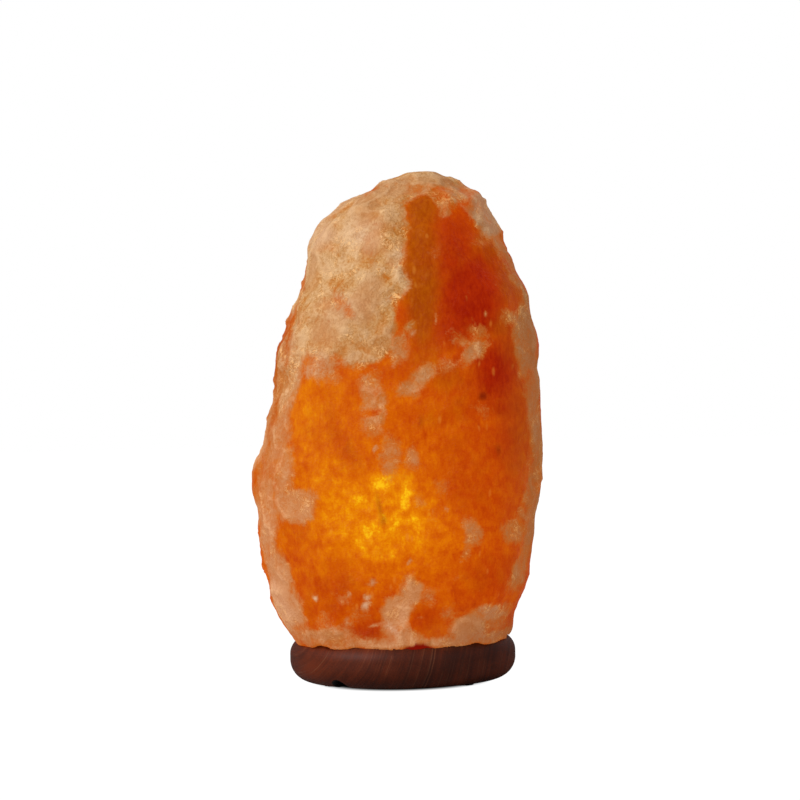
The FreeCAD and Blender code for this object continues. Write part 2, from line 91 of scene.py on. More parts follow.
class Wire:
    """What comes out of one node. A sum on wires that carry numbers adds the Math nodes for it."""

    def __init__(self, tree, socket=None):
        self.tree = tree
        self.socket = socket

    def node(self, kind, sockets=None, out=0, stops=None, **settings):
        """Adds a node: first its settings, then the value or the wire of each socket."""
        made = self.tree.nodes.new(kind)
        for name, value in settings.items():
            setattr(made, name, value)
        for k, (position, colour) in enumerate(stops or []):
            stop = made.color_ramp.elements[k] if k < 2 else made.color_ramp.elements.new(position)
            stop.position, stop.color = position, (*colour, 1.0)
        for name, value in (sockets or {}).items():
            socket = made.inputs[name]
            if isinstance(value, Wire):
                self.tree.links.new(value.socket, socket)
            elif socket.type == "RGBA" and len(value) == 3:
                socket.default_value = (*value, 1.0)
            else:
                socket.default_value = value
        return Wire(self.tree, made.outputs[out] if len(made.outputs) else None)

    def math(self, operation, *values):
        return self.node("ShaderNodeMath", dict(enumerate(values)), operation=operation)

    def __add__(self, other):
        return self.math("ADD", self, other)

    def __sub__(self, other):
        return self.math("SUBTRACT", self, other)

    def __rsub__(self, other):
        return self.math("SUBTRACT", other, self)

    def __mul__(self, other):
        return self.math("MULTIPLY", self, other)

    def __truediv__(self, other):
        return self.math("DIVIDE", self, other)

    def __rtruediv__(self, other):
        return self.math("DIVIDE", other, self)

    __radd__ = __add__
    __rmul__ = __mul__

    def most(self, other):
        return self.math("MAXIMUM", self, other)

    def least(self, other):
        return self.math("MINIMUM", self, other)

    def rise(self, low, high):
        """0 where this is under low, 1 where it is over high, and a soft step between them."""
        ends = {"Value": self, "From Min": low, "From Max": high}
        return self.node("ShaderNodeMapRange", ends, interpolation_type="SMOOTHSTEP")

    def mix(self, share, one, other):
        """One colour with a share of another."""
        return self.node("ShaderNodeMix", {0: share, 6: one, 7: other}, out=2, data_type="RGBA")

    def mixed(self, share, other):
        """This colour, with a share of another one mixed in."""
        return self.mix(share, self, other)

    def ramp(self, *stops):
        """The colour for this number, from stops that are each a number and its colour."""
        return self.node("ShaderNodeValToRGB", {"Fac": self}, stops=stops)

    def bump(self, strength, distance):
        """The surface bent as if this number were its height."""
        return self.node("ShaderNodeBump", {"Height": self, "Strength": strength, "Distance": distance})

    def noise(self, scale, detail, roughness=0.5, distortion=0.0, out=0, **settings):
        """Cloudy noise at this place."""
        sizes = {"Scale": scale, "Detail": detail, "Roughness": roughness, "Distortion": distortion}
        return self.node("ShaderNodeTexNoise", {"Vector": self, **sizes}, out, **settings)

    def cells(self, scale, out="Distance", **settings):
        """A pattern of cells at this place."""
        return self.node("ShaderNodeTexVoronoi", {"Vector": self, "Scale": scale}, out, **settings)

    def axis(self, letter):
        return self.node("ShaderNodeSeparateXYZ", {0: self}, out=letter)

    def point(self, x=0.0, y=0.0, z=0.0):
        return self.node("ShaderNodeCombineXYZ", {0: x, 1: y, 2: z})

    def mapped(self, **how):
        """This place, moved, turned or stretched."""
        return self.node("ShaderNodeMapping", {"Vector": self, **how})

    def vector(self, operation, *others, out=0):
        return self.node("ShaderNodeVectorMath", dict(enumerate((self, *others))), out, operation=operation)

    def scaled(self, size):
        return self.node("ShaderNodeVectorMath", {0: self, "Scale": size}, operation="SCALE")

    def moved(self, **how):
        """This geometry, moved to a Position or by an Offset."""
        return self.node("GeometryNodeSetPosition", {"Geometry": self, **how})


def srgb(red, green, blue):
    """A colour as a screen shows it, from 0 to 255, in the renderer's linear values."""
    return tuple(
        c / 12.92 if c <= 0.04045 else ((c + 0.055) / 1.055) ** 2.4
        for c in (red / 255, green / 255, blue / 255)
    )


def new_finish(name):
    """An empty material, the wire that its nodes are added through, and the place on the piece."""
    material = bpy.data.materials.new(name)
    material.use_nodes = True
    material.node_tree.nodes.clear()
    wire = Wire(material.node_tree)
    return material, wire, wire.node("ShaderNodeTexCoord", out="Object")


def coat(wire, **sockets):
    """Ends a material: the Principled shader with these sockets, wired to the output."""
    named = {name.replace("_", " "): value for name, value in sockets.items()}
    shader = wire.node("ShaderNodeBsdfPrincipled", named)
    wire.node("ShaderNodeOutputMaterial", {"Surface": shader})


def add_object(name, mesh, *materials):
    piece = bpy.data.objects.new(name, mesh)
    bpy.context.scene.collection.objects.link(piece)
    mesh.materials.clear()
    for material in materials:
        mesh.materials.append(material)
    return piece


world = bpy.data.worlds.new("studio_air")
world.use_nodes = True
world.node_tree.nodes.clear()
air = Wire(world.node_tree)
seen = air.node("ShaderNodeLightPath", out="Is Camera Ray")
strength = seen * (1.0 - air_brightness) + air_brightness
backdrop = air.node("ShaderNodeBackground", {"Color": (1.0, 1.0, 1.0), "Strength": strength})
air.node("ShaderNodeOutputWorld", {"Surface": backdrop})
bpy.context.scene.world = world
bpy.context.scene.view_settings.view_transform = "Standard"

floor_finish, paper, place = new_finish("white_sweep")
# Painted shadow: the floor's glow fades out near the middle, under the lamp.
outside_painted_shadow = place.vector("LENGTH", out="Value").rise(shade_radius, shade_radius + shade_edge)
bright = paper.node("ShaderNodeEmission", {"Color": (1.0, 1.0, 1.0), "Strength": outside_painted_shadow * floor_glow})
matt = paper.node("ShaderNodeBsdfDiffuse", {"Color": floor_bounce})
seen = paper.node("ShaderNodeLightPath", out="Is Camera Ray")
blend = paper.node("ShaderNodeMixShader", {0: seen, 1: matt, 2: bright})
paper.node("ShaderNodeOutputMaterial", {"Surface": blend})

half = floor_size / 2
corners = [(-half, -half, 0), (half, -half, 0), (half, half, 0), (-half, half, 0)]
sheet = bpy.data.meshes.new("floor")
sheet.from_pydata(corners, [], [(0, 1, 2, 3)])
floor = add_object("floor", sheet, floor_finish)

for name, (x, y, z, size, power) in {"key": key_light, "fill": fill_light, "rim": rim_light}.items():
    lamp = bpy.data.lights.new(name, "AREA")
    lamp.size = size
    lamp.energy = power
    light = bpy.data.objects.new(name, lamp)
    bpy.context.scene.collection.objects.link(light)
    light.location = (x, y, z)
    light.rotation_euler = (light_target - light.location).to_track_quat("-Z", "Y").to_euler()


# ---------------------------------------------------------------- wooden base
# A disc turned from one thick board of dark-stained hardwood, sanded and rubbed with a satin wax. The
# board was cut to the left of the tree's heart, so the yearly rings fan out across its front.
heart_x, heart_z = -0.065, 0.038
ring_spacing, ring_sway = 0.0017, 0.006
wood_dark, wood_mid, wood_pale = srgb(66, 23, 8), srgb(118, 46, 16), srgb(178, 116, 76)
wood_edge_angle = 32

# The groove for the cord is painted black inside, as painted shade in the recess. It runs out to the left
# of the front, and the painted shade starts where it is clear of the base's hole.
groove_azimuth = math.radians(233)
groove_radius, groove_edge = 0.00453, 0.0003
groove_shade_full, groove_shade_start = -0.02, -0.018
groove_shade_colour = srgb(6, 4, 4)


def copy_of(node, name, *materials):
    """A new piece with a CAD node's shape, its corners merged."""
    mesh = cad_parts[node].data.copy()
    mesh.name = name
    piece = add_object(name, mesh, *materials)
    weld = piece.modifiers.new("weld", "WELD")
    weld.merge_threshold = 1e-6
    return keep_result(piece)


def keep_result(piece):
    """Turns what a piece's modifiers make into its own plain mesh, and removes them."""
    made = piece.evaluated_get(bpy.context.evaluated_depsgraph_get())
    mesh = bpy.data.meshes.new_from_object(made)
    piece.modifiers.clear()
    old, piece.data = piece.data, mesh
    bpy.data.meshes.remove(old)
    mesh.name = piece.name
    return piece


def smooth(piece, edge_angle):
    """Smooth shading, apart from edges sharper than an angle in degrees."""
    piece.data.polygons.foreach_set("use_smooth", [True] * len(piece.data.polygons))
    piece.data.set_sharp_from_angle(angle=math.radians(edge_angle))


wood_finish, wood, place = new_finish("dark_wood")
sideways, split, upward = (place.axis(letter) for letter in "XYZ")
board = place.mapped(Location=(-heart_x, 0, -heart_z), Scale=(1, 0, 1))
radius = board.vector("LENGTH", out="Value") + place.noise(22.0, 3.0) * ring_sway
rings = wood.point(radius / ring_spacing, split * 14.0).noise(1.0, 6.0, 0.7)
fibres = place.mapped(Scale=(1.0, 0.05, 1.0))
pores = fibres.noise(1500.0, 3.0, 0.6)
figure = fibres.noise(60.0, 4.0)
hairs = wood.point(radius * 1150.0, split * 30.0).noise(1.0, 2.0)
pale_lines = hairs.rise(0.55, 0.74) * figure.rise(0.38, 0.58)
heartwood = sideways.rise(-0.012, 0.016) * (1.0 - sideways.rise(0.028, 0.05))
tone = (rings * 0.6 + pores * 0.4 + figure * 0.75 - heartwood * 0.12).rise(0.60, 1.15)
beside_groove = sideways * math.sin(groove_azimuth) - split * math.cos(groove_azimuth)
over_groove = upward - base_underside
from_groove = wood.math("SQRT", beside_groove * beside_groove + over_groove * over_groove)
# Painted shade: the wood inside the groove is painted near black.
groove_shade_share = 1.0 - from_groove.rise(groove_radius, groove_radius + groove_edge)
groove_shade_share = groove_shade_share * (1.0 - split.rise(groove_shade_full, groove_shade_start))
stain = tone.ramp((0.0, wood_dark), (1.0, wood_mid)).mixed(pale_lines * 0.22, wood_pale)
relief = pores * 0.4 + rings * 0.6 - pale_lines * 0.5
coat(
    wood,
    Base_Color=stain.mixed(groove_shade_share * 0.95, groove_shade_colour),
    Roughness=0.46 + pores * 0.22 - pale_lines * 0.1,
    Specular_IOR_Level=0.24,
    Normal=relief.bump(0.25, 0.0004),
)

base = copy_of("wood_base", "turned_base", wood_finish)
smooth(base, wood_edge_angle)
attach(base, "lamp")
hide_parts("wood_base")


# ---------------------------------------------------------------- salt block
# A lump of orange rock salt, split to shape with a chisel and washed, then drilled from below for the
# bulb. Clear salt glows like embers; crushed and frosted salt stays paler and pinker in the room's light.
mesh_step = 0.00124
edge_rounding = 5
hewn_sizes = {
    "swell_size": 0.030,
    "swell_depth": 0.0011,
    "chip_size": 0.0095,
    "chip_depth": 0.0009,
    "pit_size": 0.0032,
    "pit_depth": 0.00022,
}
hole_radius, hole_top, hole_edge = 0.0253, 0.1088, 0.004
seat_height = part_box("salt_crystal")[0].z
seat_flat, seat_rough = 0.0003, 0.0022
ridge_reach, ridge_gain = 7, 2500.0

# How far the block's left and right edges are knocked in, as (height, inset) in millimetres from the
# foot to the crest.
left_knuckles = [
    (30, 0.0), (46, 0.7), (52, 2.2), (58, 0.5), (64, 0.0), (88, 0.0), (94, -0.8), (100, -1.1), (106, -2.0),
    (112, -0.6), (124, -0.2), (130, 0.3), (136, 0.3), (142, 1.2), (148, 1.5), (154, 0.4), (160, -0.8),
    (166, -1.2), (172, -1.0), (178, 0.2), (184, -0.1), (190, 0.0), (196, 0.2), (202, 1.0), (208, 0.6),
    (214, -0.7), (220, -2.0), (226, -1.6), (232, -0.6), (238, 0.1), (241, 3.2), (244, 5.8), (246, 4.1),
    (248, 2.8), (250, 1.8),
]
right_knuckles = [
    (28, 1.0), (34, 1.5), (46, 1.7), (52, 0.5), (58, 1.5), (64, 1.2), (76, 1.5), (82, 2.0), (88, 0.8),
    (94, 0.7), (100, 1.8), (106, 2.1), (112, 1.5), (124, 1.0), (136, 1.0), (142, 0.7), (148, 1.0),
    (154, 2.1), (160, 0.4), (166, 0.0), (172, 0.0), (178, 1.3), (184, 1.2), (190, 0.2), (196, 1.2),
    (202, 2.2), (208, 1.8), (214, 0.6), (220, 2.0), (226, 0.7), (232, 1.0), (238, -0.3), (244, 1.8),
    (247, 2.6), (250, 2.1),
]

# Frosted patches of the front, in millimetres and degrees: how far across and up each one is, half its
# width and height, how far it leans to the left, and how thick its frost is.
frosted_patches = [
    (-22, 212, 24, 31, 0, 1.0),
    (-6, 226, 12, 20, -8, 1.0),
    (-36, 205, 9, 28, 0, 1.0),
    (-8, 195, 13, 15, -30, 1.08),
    (1, 209, 4, 5, 0, 0.75),
    (-17, 179, 16, 20, 0, 1.05),
    (-37, 181, 13, 20, -5, 0.95),
    (-51, 155, 5, 27, -13, 0.85),
    (-59, 120, 5, 18, -8, 0.64),
    (-36, 158, 9, 7, 0, 0.55),
    (-12, 140, 7, 16, 0, 0.56),
    (-4, 115, 5, 11, 0, 0.55),
    (6, 114, 3, 4, 0, 0.6),
    (0, 166, 5, 7, 0, 0.6),
    (5, 147, 7, 4, 25, 0.62),
    (13, 153, 7, 4, 35, 0.68),
    (23, 157, 6, 5, 20, 0.38),
    (7, 176, 4, 2, 30, 0.65),
    (38, 163, 8, 4, 40, 0.72),
    (34, 168, 5, 2, -25, 0.6),
    (40, 173, 5, 5, 20, 0.5),
    (41, 135, 6, 4, -40, 0.4),
    (20, 213, 4, 3, 30, 0.36),
    (42, 217, 4, 3, 0, 0.25),
    (12, 250, 30, 6, 0, 0.95),
    (30, 240, 14, 5, 20, 0.62),
    (6, 241, 10, 5, 0, 0.6),
    (-1, 243, 9, 7, 0, 0.9),
    (27, 236, 9, 4, 45, 0.5),
    (46, 230, 8, 12, 25, 0.86),
    (15, 238, 6, 3, -30, 0.4),
    (24, 243, 13, 5, 15, 0.85),
    (54, 214, 4, 13, 25, 0.5),
    (64, 197, 5, 15, 20, 0.56),
    (64, 167, 7, 17, 0, 0.76),
    (56, 179, 5, 4, 0, 0.55),
    (67, 140, 5, 20, 0, 0.62),
    (69, 116, 5, 20, 0, 0.7),
    (66, 97, 5, 17, -5, 0.62),
    (64, 78, 5, 14, -8, 0.62),
    (60, 60, 5, 12, -18, 0.55),
    (55, 76, 6, 6, 0, 0.55),
    (35, 77, 5, 7, 0, 0.62),
    (32, 68, 3, 5, 0, 0.5),
    (56, 55, 4, 8, -10, 0.72),
    (43, 36, 9, 4, 10, 0.76),
    (32, 30, 9, 6, 0, 0.85),
    (47, 25, 9, 3, 0, 0.7),
    (44, 31, 10, 4, 0, 0.42),
    (23, 38, 4, 3, 0, 0.42),
    (27, 54, 3, 2, 0, 0.42),
    (4, 48, 5, 8, -15, 0.9),
    (-2, 39, 7, 10, -20, 0.9),
    (-6, 31, 5, 7, 0, 0.58),
    (1, 27, 7, 6, 0, 0.85),
    (12, 47, 5, 5, 0, 0.36),
    (8, 91, 4, 5, 0, 0.38),
    (15, 85, 5, 4, 0, 0.34),
    (20, 100, 4, 6, 0, 0.34),
    (-14, 54, 3, 3, -30, 0.36),
    (-17, 45, 2.5, 6, -15, 0.36),
    (-25, 36, 3, 6, -15, 0.4),
    (-27, 46, 3, 3, 0, 0.3),
    (-37, 36, 5, 4, 0, 0.42),
    (-42, 46, 2, 3, 0, 0.36),
    (-57, 43, 7, 15, 22, 0.98),
    (-60, 57, 6, 13, 8, 0.75),
    (-39, 28, 16, 4, 0, 0.75),
    (-22, 26, 10, 3, 0, 0.52),
    (-64, 76, 5, 14, 3, 0.68),
    (-50, 91, 10, 9, 0, 0.75),
    (-56, 101, 6, 7, 0, 0.5),
    (-65, 92, 6, 15, 0, 0.68),
    (-57, 111, 7, 10, 0, 0.66),
    (-66, 108, 4, 10, 0, 0.4),
    (-60, 150, 4, 34, -10, 0.6),
    (-68, 118, 4, 18, -8, 0.3),
    (-53, 192, 4, 16, -18, 0.78),
    (8, 24, 56, 3, 0, 0.85),
]

# Small white chips with crisp edges.
white_chips = [
    (-41.5, 45.5, 1.6, 2.2, 0, 0.9),
    (-18, 46, 1.6, 1.6, 0, 0.9),
    (-18.2, 42, 1.7, 1.8, 0, 0.95),
    (-25, 47.5, 1.3, 1.8, 0, 0.7),
    (-14, 53.5, 2.2, 1.4, 20, 0.7),
    (-12.5, 34, 2.6, 1.0, 10, 0.85),
    (-5.5, 30.5, 4.4, 1.3, -50, 0.95),
    (-26, 35, 0.9, 3.4, -10, 0.7),
    (-33, 31, 1.2, 2.2, 0, 0.55),
    (10.2, 36.5, 1.0, 1.1, 0, 0.5),
    (14, 45, 1.4, 1.2, 0, 0.5),
    (-36.5, 39, 1.1, 1.4, 0, 0.5),
    (29.5, 63, 0.9, 1.2, 0, 0.6),
    (4, 63, 1.2, 1.2, 0, 0.6),
    (22, 88, 1.1, 1.1, 0, 0.75),
    (-11, 118, 1.1, 1.2, 0, 0.7),
    (44, 182, 1.2, 1.4, 0, 0.8),
    (20, 178, 0.9, 3.6, 5, 0.6),
    (8, 172, 2.2, 0.9, 30, 0.8),
]

# Clear pits in the frost, with how much of it each one takes away.
clear_pits = [
    (-26, 189, 3, 5, 15, 0.55),
    (-22, 183, 3, 4, 20, 0.55),
    (-27, 195, 3, 2, 0, 0.4),
    (-8, 206, 9, 2, -60, 0.35),
    (-2, 190, 4, 3, 0, 0.35),
    (-14, 136, 3, 2, 0, 0.5),
    (-20, 204, 4, 2, 0, 0.25),
    (14, 232, 6, 9, 0, 0.55),
    (23, 242, 5, 3, 20, 0.5),
]

# Clear salt that lets less of the glow through: deep red, and then brown where it is thick.
red_patches = [
    (29, 206, 10, 25, 0, 0.75),
    (36, 190, 15, 19, 0, 1.0),
    (46, 201, 10, 15, 0, 0.55),
    (29, 175, 10, 9, 0, 0.8),
    (16, 208, 5, 6, 0, 0.45),
    (47, 153, 10, 14, 0, 1.0),
    (35, 148, 5, 8, -30, 0.6),
    (50, 137, 9, 6, 0, 0.75),
    (52, 120, 7, 13, 0, 0.55),
    (33, 135, 9, 8, 0, 0.4),
    (39, 108, 21, 24, 0, 0.32),
    (48, 115, 2, 3, 0, 0.85),
    (-33, 137, 4, 8, 15, 0.35),
    (-29, 126, 3, 8, 20, 0.55),
    (-25, 117, 3, 5, 20, 0.7),
    (-24, 140, 4, 4, 0, 0.2),
    (-40, 126, 4, 4, 0, 0.35),
    (2, 158, 8, 9, 0, 0.3),
    (-29, 62, 7, 3, 15, 0.4),
    (-28, 54, 6, 8, 0, 0.5),
    (-39, 51, 7, 10, 0, 0.38),
    (-16, 31, 9, 6, 20, 0.75),
    (-32, 42, 5, 6, 0, 0.5),
    (-21, 40, 4, 4, 0, 0.5),
    (-44, 40, 4, 5, 0, 0.4),
    (12, 36, 7, 7, 0, 0.5),
    (44, 55, 16, 11, 0, 0.45),
    (46, 90, 12, 18, 0, 0.3),
    (-50, 78, 8, 5, 0, 0.3),
]
brown_patches = [
    (13, 198, 9, 40, 0, 0.85),
    (47, 216, 9, 13, 0, 0.8),
    (55, 199, 7, 14, 10, 0.7),
    (50, 176, 9, 7, 0, 0.65),
    (24, 152, 9, 9, 0, 0.5),
    (14, 233, 9, 10, 0, 0.75),
    (55, 165, 8, 14, 0, 0.5),
    (-60, 150, 6, 40, -11, 0.7),
    (60, 130, 10, 30, 0, 0.4),
    (20, 135, 12, 10, 0, 0.3),
]

# Places where the lit bulb shows through most.
bright_patches = [
    (-9, 102, 4, 3, 0, 0.34),
    (3, 97, 3, 7, 0, 0.22),
    (-15, 92, 4, 3, 0, 0.12),
    (-20, 97, 6, 4, 0, 0.10),
    (2, 87, 8, 12, 0, 0.12),
    (-11, 78, 4, 4, 0, 0.1),
    (14, 84, 12, 22, 0, 0.07),
    (-17, 87, 20, 18, 0, 0.28),
    (-22, 74, 16, 10, 0, 0.07),
    (-12, 67, 9, 5, -10, 0.12),
    (14, 74, 12, 10, 0, 0.1),
    (-35, 90, 9, 12, 0, 0.08),
    (-40, 145, 12, 10, 0, 0.1),
    (-45, 130, 12, 26, 0, 0.09),
    (-32, 120, 22, 18, 0, 0.08),
]

# Places where the frost is whitest.
pale_patches = [
    (-38, 224, 9, 9, 30, 0.28),
    (-15, 221, 7, 6, 0, 0.4),
    (3, 209, 4, 5, 0, 0.35),
    (47, 231, 9, 14, 25, 0.45),
    (57, 206, 4, 12, 20, 0.14),
    (-30, 240, 12, 6, 30, 0.3),
    (-26, 186, 9, 6, 0, 0.2),
    (-54, 176, 4, 10, -10, 0.28),
    (-40, 157, 7, 6, 0, 0.28),
    (-65, 70, 4, 12, 0, 0.12),
    (-60, 43, 6, 14, 25, 0.34),
    (-1, 33, 3, 7, -25, 0.24),
    (45, 38, 8, 4, 10, 0.4),
    (38, 26, 14, 3, 0, 0.35),
]

# Grains of other rock and a crack, dark against the glow.
dark_inclusions = [
    (41, 142, 1.8, 1.6, 0, 0.8),
    (-9.5, 90, 0.8, 4.5, 12, 0.5),
    (-8, 84, 1.3, 2.0, 0, 0.45),
    (48, 116, 0.8, 1.7, 10, 0.6),
    (11, 131, 0.9, 2.2, 0, 0.35),
]

# Bright spots on the other sides, where the bulb shows through: the azimuth of the line from the bulb,
# the height above it in millimetres, and the brightness.
hot_spots = [
    (147.0, -3.0, 0.62),
    (41.0, 6.0, 0.55),
]


def geometry_tree(name, *sizes, counts=()):
    """A new geometry tree with an input for each size, each count and the finish. Returns it with the
    wire of each input."""
    tree = bpy.data.node_groups.new(name, "GeometryNodeTree")
    kinds = {"Geometry": "Geometry", **dict.fromkeys(sizes, "Float"), **dict.fromkeys(counts, "Int")}
    for socket, kind in {**kinds, "finish": "Material"}.items():
        tree.interface.new_socket(socket, in_out="INPUT", socket_type="NodeSocket" + kind)
    tree.interface.new_socket("Geometry", in_out="OUTPUT", socket_type="NodeSocketGeometry")
    given = tree.nodes.new("NodeGroupInput")
    return tree, {socket.name: Wire(tree, socket) for socket in given.outputs if socket.name}


def grow(piece, tree, **sizes):
    """Runs a geometry tree on a piece with these sizes and the piece's finish, and keeps the result."""
    modifier = piece.modifiers.new(tree.name, "NODES")
    modifier.node_group = tree
    sizes["finish"] = piece.data.materials[0]
    for item in tree.interface.items_tree:
        if item.name in sizes and item.in_out == "INPUT":
            modifier[item.identifier] = sizes[item.name]
    return keep_result(piece)


def mesh_end(given, geometry):
    """Ends a geometry tree: instances made real, and the finish on everything."""
    real = geometry.node("GeometryNodeRealizeInstances", {0: geometry})
    dressed = real.node("GeometryNodeSetMaterial", {"Geometry": real, "Material": given["finish"]})
    dressed.node("NodeGroupOutput", {0: dressed})


def blurred(place, rounds):
    """Each place moved to the middle of its neighbours, so many times over."""
    sizes = {"Value": place, "Iterations": rounds, "Weight": 1.0}
    return place.node("GeometryNodeBlurAttribute", sizes, data_type="FLOAT_VECTOR")


block_low, block_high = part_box("salt_crystal")
block_reach = {
    "half_width": float(block_high.x),
    "half_depth": float(block_high.y),
    "height": float(block_high.z),
}
hewn_tree, given = geometry_tree("hewn_surface", *block_reach, *hewn_sizes, counts=["rounding"])
block = given["Geometry"]
place = block.node("GeometryNodeInputPosition")
x, y, z = (place.axis(letter) for letter in "XYZ")
from_axis = block.math("SQRT", x * x + y * y)
outside = from_axis.rise(hole_radius, hole_radius + hole_edge).most(z.rise(hole_top, hole_top + hole_edge))
outside = outside * z.rise(seat_height + seat_flat, seat_height + seat_rough)
worn = blurred(place, given["rounding"])
rounded = block.node("ShaderNodeMix", {0: outside, 4: place, 5: worn}, out=1, data_type="VECTOR")
shape = block.moved(Position=rounded)

swell = place.noise(1.0 / given["swell_size"], 2.0)
chip_place = place.vector("ADD", place.noise(60.0, 3.0, out="Color").scaled(0.011))
chips = chip_place.cells(1.0 / given["chip_size"])
small_chips = chip_place.cells(2.3 / given["chip_size"])
patchy = place.noise(24.0, 1.0)
pits = place.noise(1.0 / given["pit_size"], 3.0, 0.6)
depth = (swell - 0.5) * 2.0 * given["swell_depth"]
depth = depth + (chips * chips - 0.3) * 2.4 * given["chip_depth"] * (patchy.rise(0.36, 0.62) + 0.25)
depth = depth + (small_chips * small_chips - 0.3) * given["chip_depth"] * patchy.rise(0.45, 0.6)
depth = depth + (pits - 0.5) * 2.0 * given["pit_depth"]
normal = block.node("GeometryNodeInputNormal")
shape = shape.moved(Offset=normal.scaled(depth * outside))
limits = (given["half_width"], given["half_depth"])
within = [side.least(limit).most(limit * -1.0) for side, limit in zip((x, y), limits)]
shape = shape.moved(Position=block.point(*within, z.least(given["height"])))
ridge = place.vector("SUBTRACT", blurred(place, ridge_reach)).vector("DOT_PRODUCT", normal, out="Value")
shape = block.node(
    "GeometryNodeStoreNamedAttribute",
    {"Geometry": shape, "Name": "ridge", "Value": ridge * ridge_gain},
    data_type="FLOAT",
    domain="POINT",
)
mesh_end(given, shape)


def fade(values, start, full):
    """0 up to the start and 1 from where it is full, on either side, with an even slope between."""
    return np.clip((values - start) / (full - start), 0, 1)


def laid_on(across, up, patches, softness):
    """How much of a list of patches lies on each place. Each patch fades out over the softness, in
    millimetres, and where two meet the stronger one counts."""
    most = np.zeros(len(across))
    for x, z, half_width, half_height, lean, strength in patches:
        c, s = math.cos(math.radians(lean)), math.sin(math.radians(lean))
        u = ((across - x) * c + (up - z) * s) / half_width
        v = ((up - z) * c - (across - x) * s) / half_height
        inside = 1 - (np.abs(u) ** 2.6 + np.abs(v) ** 2.6) ** (1 / 2.6)
        inside = inside * min(half_width, half_height) / softness
        share = np.clip(inside * 0.5 + 0.5, 0, 1)
        most = np.maximum(most, share * share * (3 - 2 * share) * strength)
    return most


def ripples(places, size, seed):
    """An even random swell through space, about 1 high and with waves of roughly this size."""
    draw = np.random.default_rng(seed)
    swell = np.zeros(len(places))
    for _ in range(14):
        direction = draw.normal(size=3)
        direction *= 2 * math.pi / (size * draw.uniform(0.7, 1.6) * np.linalg.norm(direction))
        swell += np.sin(places @ direction + draw.uniform(0, 2 * math.pi))
    return swell / math.sqrt(7)


bulb_level = 0.086

# The block's lower rim comes down over the rounded shoulder of the base, here in millimetres. A painted
# dark red glint lies on the front of its lowest edge.
base_reach, shoulder_radius = 56.0, 8.0
lip_reach, lip_height, lip_inset = 5.6, 9.0, 2.6
lip_row, lip_window = 1.5, 0.06
glint_x, glint_z, glint_width, glint_height = 7.5, 21.0, 6.4, 2.0

# Soft limits in millimetres, each as where something starts and where it is full.
front_depth = (34, 8)
frosty_crest = (215, 240)
flank_across, flank_depth = (48, 63), (-22, -4)
shoulder_across, shoulder_up = (52, 62), (172, 184)
dim_foot, dim_right, dim_right_up = (58, 18), (5, 65), (120, 180)
unlit_right = (25, 65)
# Painted shade: where the block is darkened to the right, at its foot and at its top right corner.
shaded_right, shaded_foot = (46, 66), (34, 24)
shaded_corner_across, shaded_corner_up = (10, 40), (46, 32)

# How the bulb's light falls on a side: a core and a halo, each as its brightness, width and height.
spot_glows = [(0.40, 15, 18), (0.17, 42, 55)]

salt_finish, salt, place = new_finish("rock_salt")


def field(name):
    return salt.node("ShaderNodeAttribute", out="Fac", attribute_name=name)


cloud = place.noise(85.0, 6.0, 0.62, 0.6)
crinkle = place.noise(430.0, 3.0, 0.62, 1.7)
ray = place.vector("SUBTRACT", (0.0, 0.0, bulb_level)).vector("NORMALIZE")
streaks = ray.noise(12.0, 4.0, 0.52, 0.3)
fine = place.noise(1150.0, 2.0)
crystalline = place.noise(36.0, 2.0, 0.5, 0.3).rise(0.40, 0.56)
# Thin curling ridges in the frost: bumps in the relief, and painted glints in the colour.
glinting_curls = 1.0 - salt.math("ABSOLUTE", place.noise(190.0, 2.0, 0.5, 2.6) - 0.5).rise(0.012, 0.065)
glinting_curls = glinting_curls * place.noise(150.0, 2.0).rise(0.50, 0.62) * (crystalline * 0.85 + 0.15)
soft = place.noise(62.0, 2.0, 0.5, 0.8)
drawn_out = place.mapped(Rotation=(0.0, 0.12, 0.0), Scale=(1.0, 1.0, 0.4))
grainy = drawn_out.noise(620.0, 4.0, 0.62, 0.3)
# Small bright specks: painted sparkles in the clear salt.
sparkle_specks = (1.0 - drawn_out.cells(230.0).rise(0.08, 0.30)) * place.noise(70.0, 3.0, 0.6).rise(0.52, 0.66)

frost = (field("frost") + (cloud - 0.5) * 0.9 + (crinkle - 0.5) * 0.5 + (fine - 0.5) * 0.2).rise(0.14, 0.98)
frost = frost * (0.84 + crinkle.rise(0.35, 0.6) * 0.16)
edging = frost * (1.0 - frost) * 4.0
redness = field("redness") + (cloud - 0.5) * 0.7 + (streaks - 0.5) * 0.5 + (crinkle - 0.5) * 0.4
brownness = field("brownness") + (cloud - 0.5) * 0.5 + (streaks - 0.5) * 0.5
glow = field("glow") + (streaks - 0.5) * 0.8 + (crinkle - 0.5) * 0.16
glow = glow + (grainy - 0.5) * 0.36 + (fine - 0.5) * 0.24
ember = glow.ramp(
    (0.0, srgb(164, 44, 0)),
    (0.30, srgb(192, 70, 0)),
    (0.52, srgb(208, 94, 0)),
    (0.70, srgb(222, 116, 0)),
    (0.86, srgb(236, 144, 2)),
    (1.0, srgb(252, 192, 16)),
)
veins = (grainy * 0.5 + cloud * 0.5).rise(0.35, 0.66)
deep = veins.ramp((0.0, srgb(146, 18, 0)), (1.0, srgb(170, 40, 0)))
umber = veins.ramp((0.0, srgb(150, 58, 0)), (1.0, srgb(176, 86, 2)))
chalk = (soft * 0.40 + cloud * 0.30 + crinkle * 0.24 + fine * 0.06).rise(0.39, 0.60)
chalk = chalk.ramp((0.0, srgb(192, 120, 48)), (0.45, srgb(203, 158, 101)), (1.0, srgb(224, 192, 146)))
lit, pale, painted_shade = field("lit"), field("pale"), field("painted_shade")
chalk = chalk.mixed((1.0 - crystalline) * 0.65, srgb(200, 154, 110))
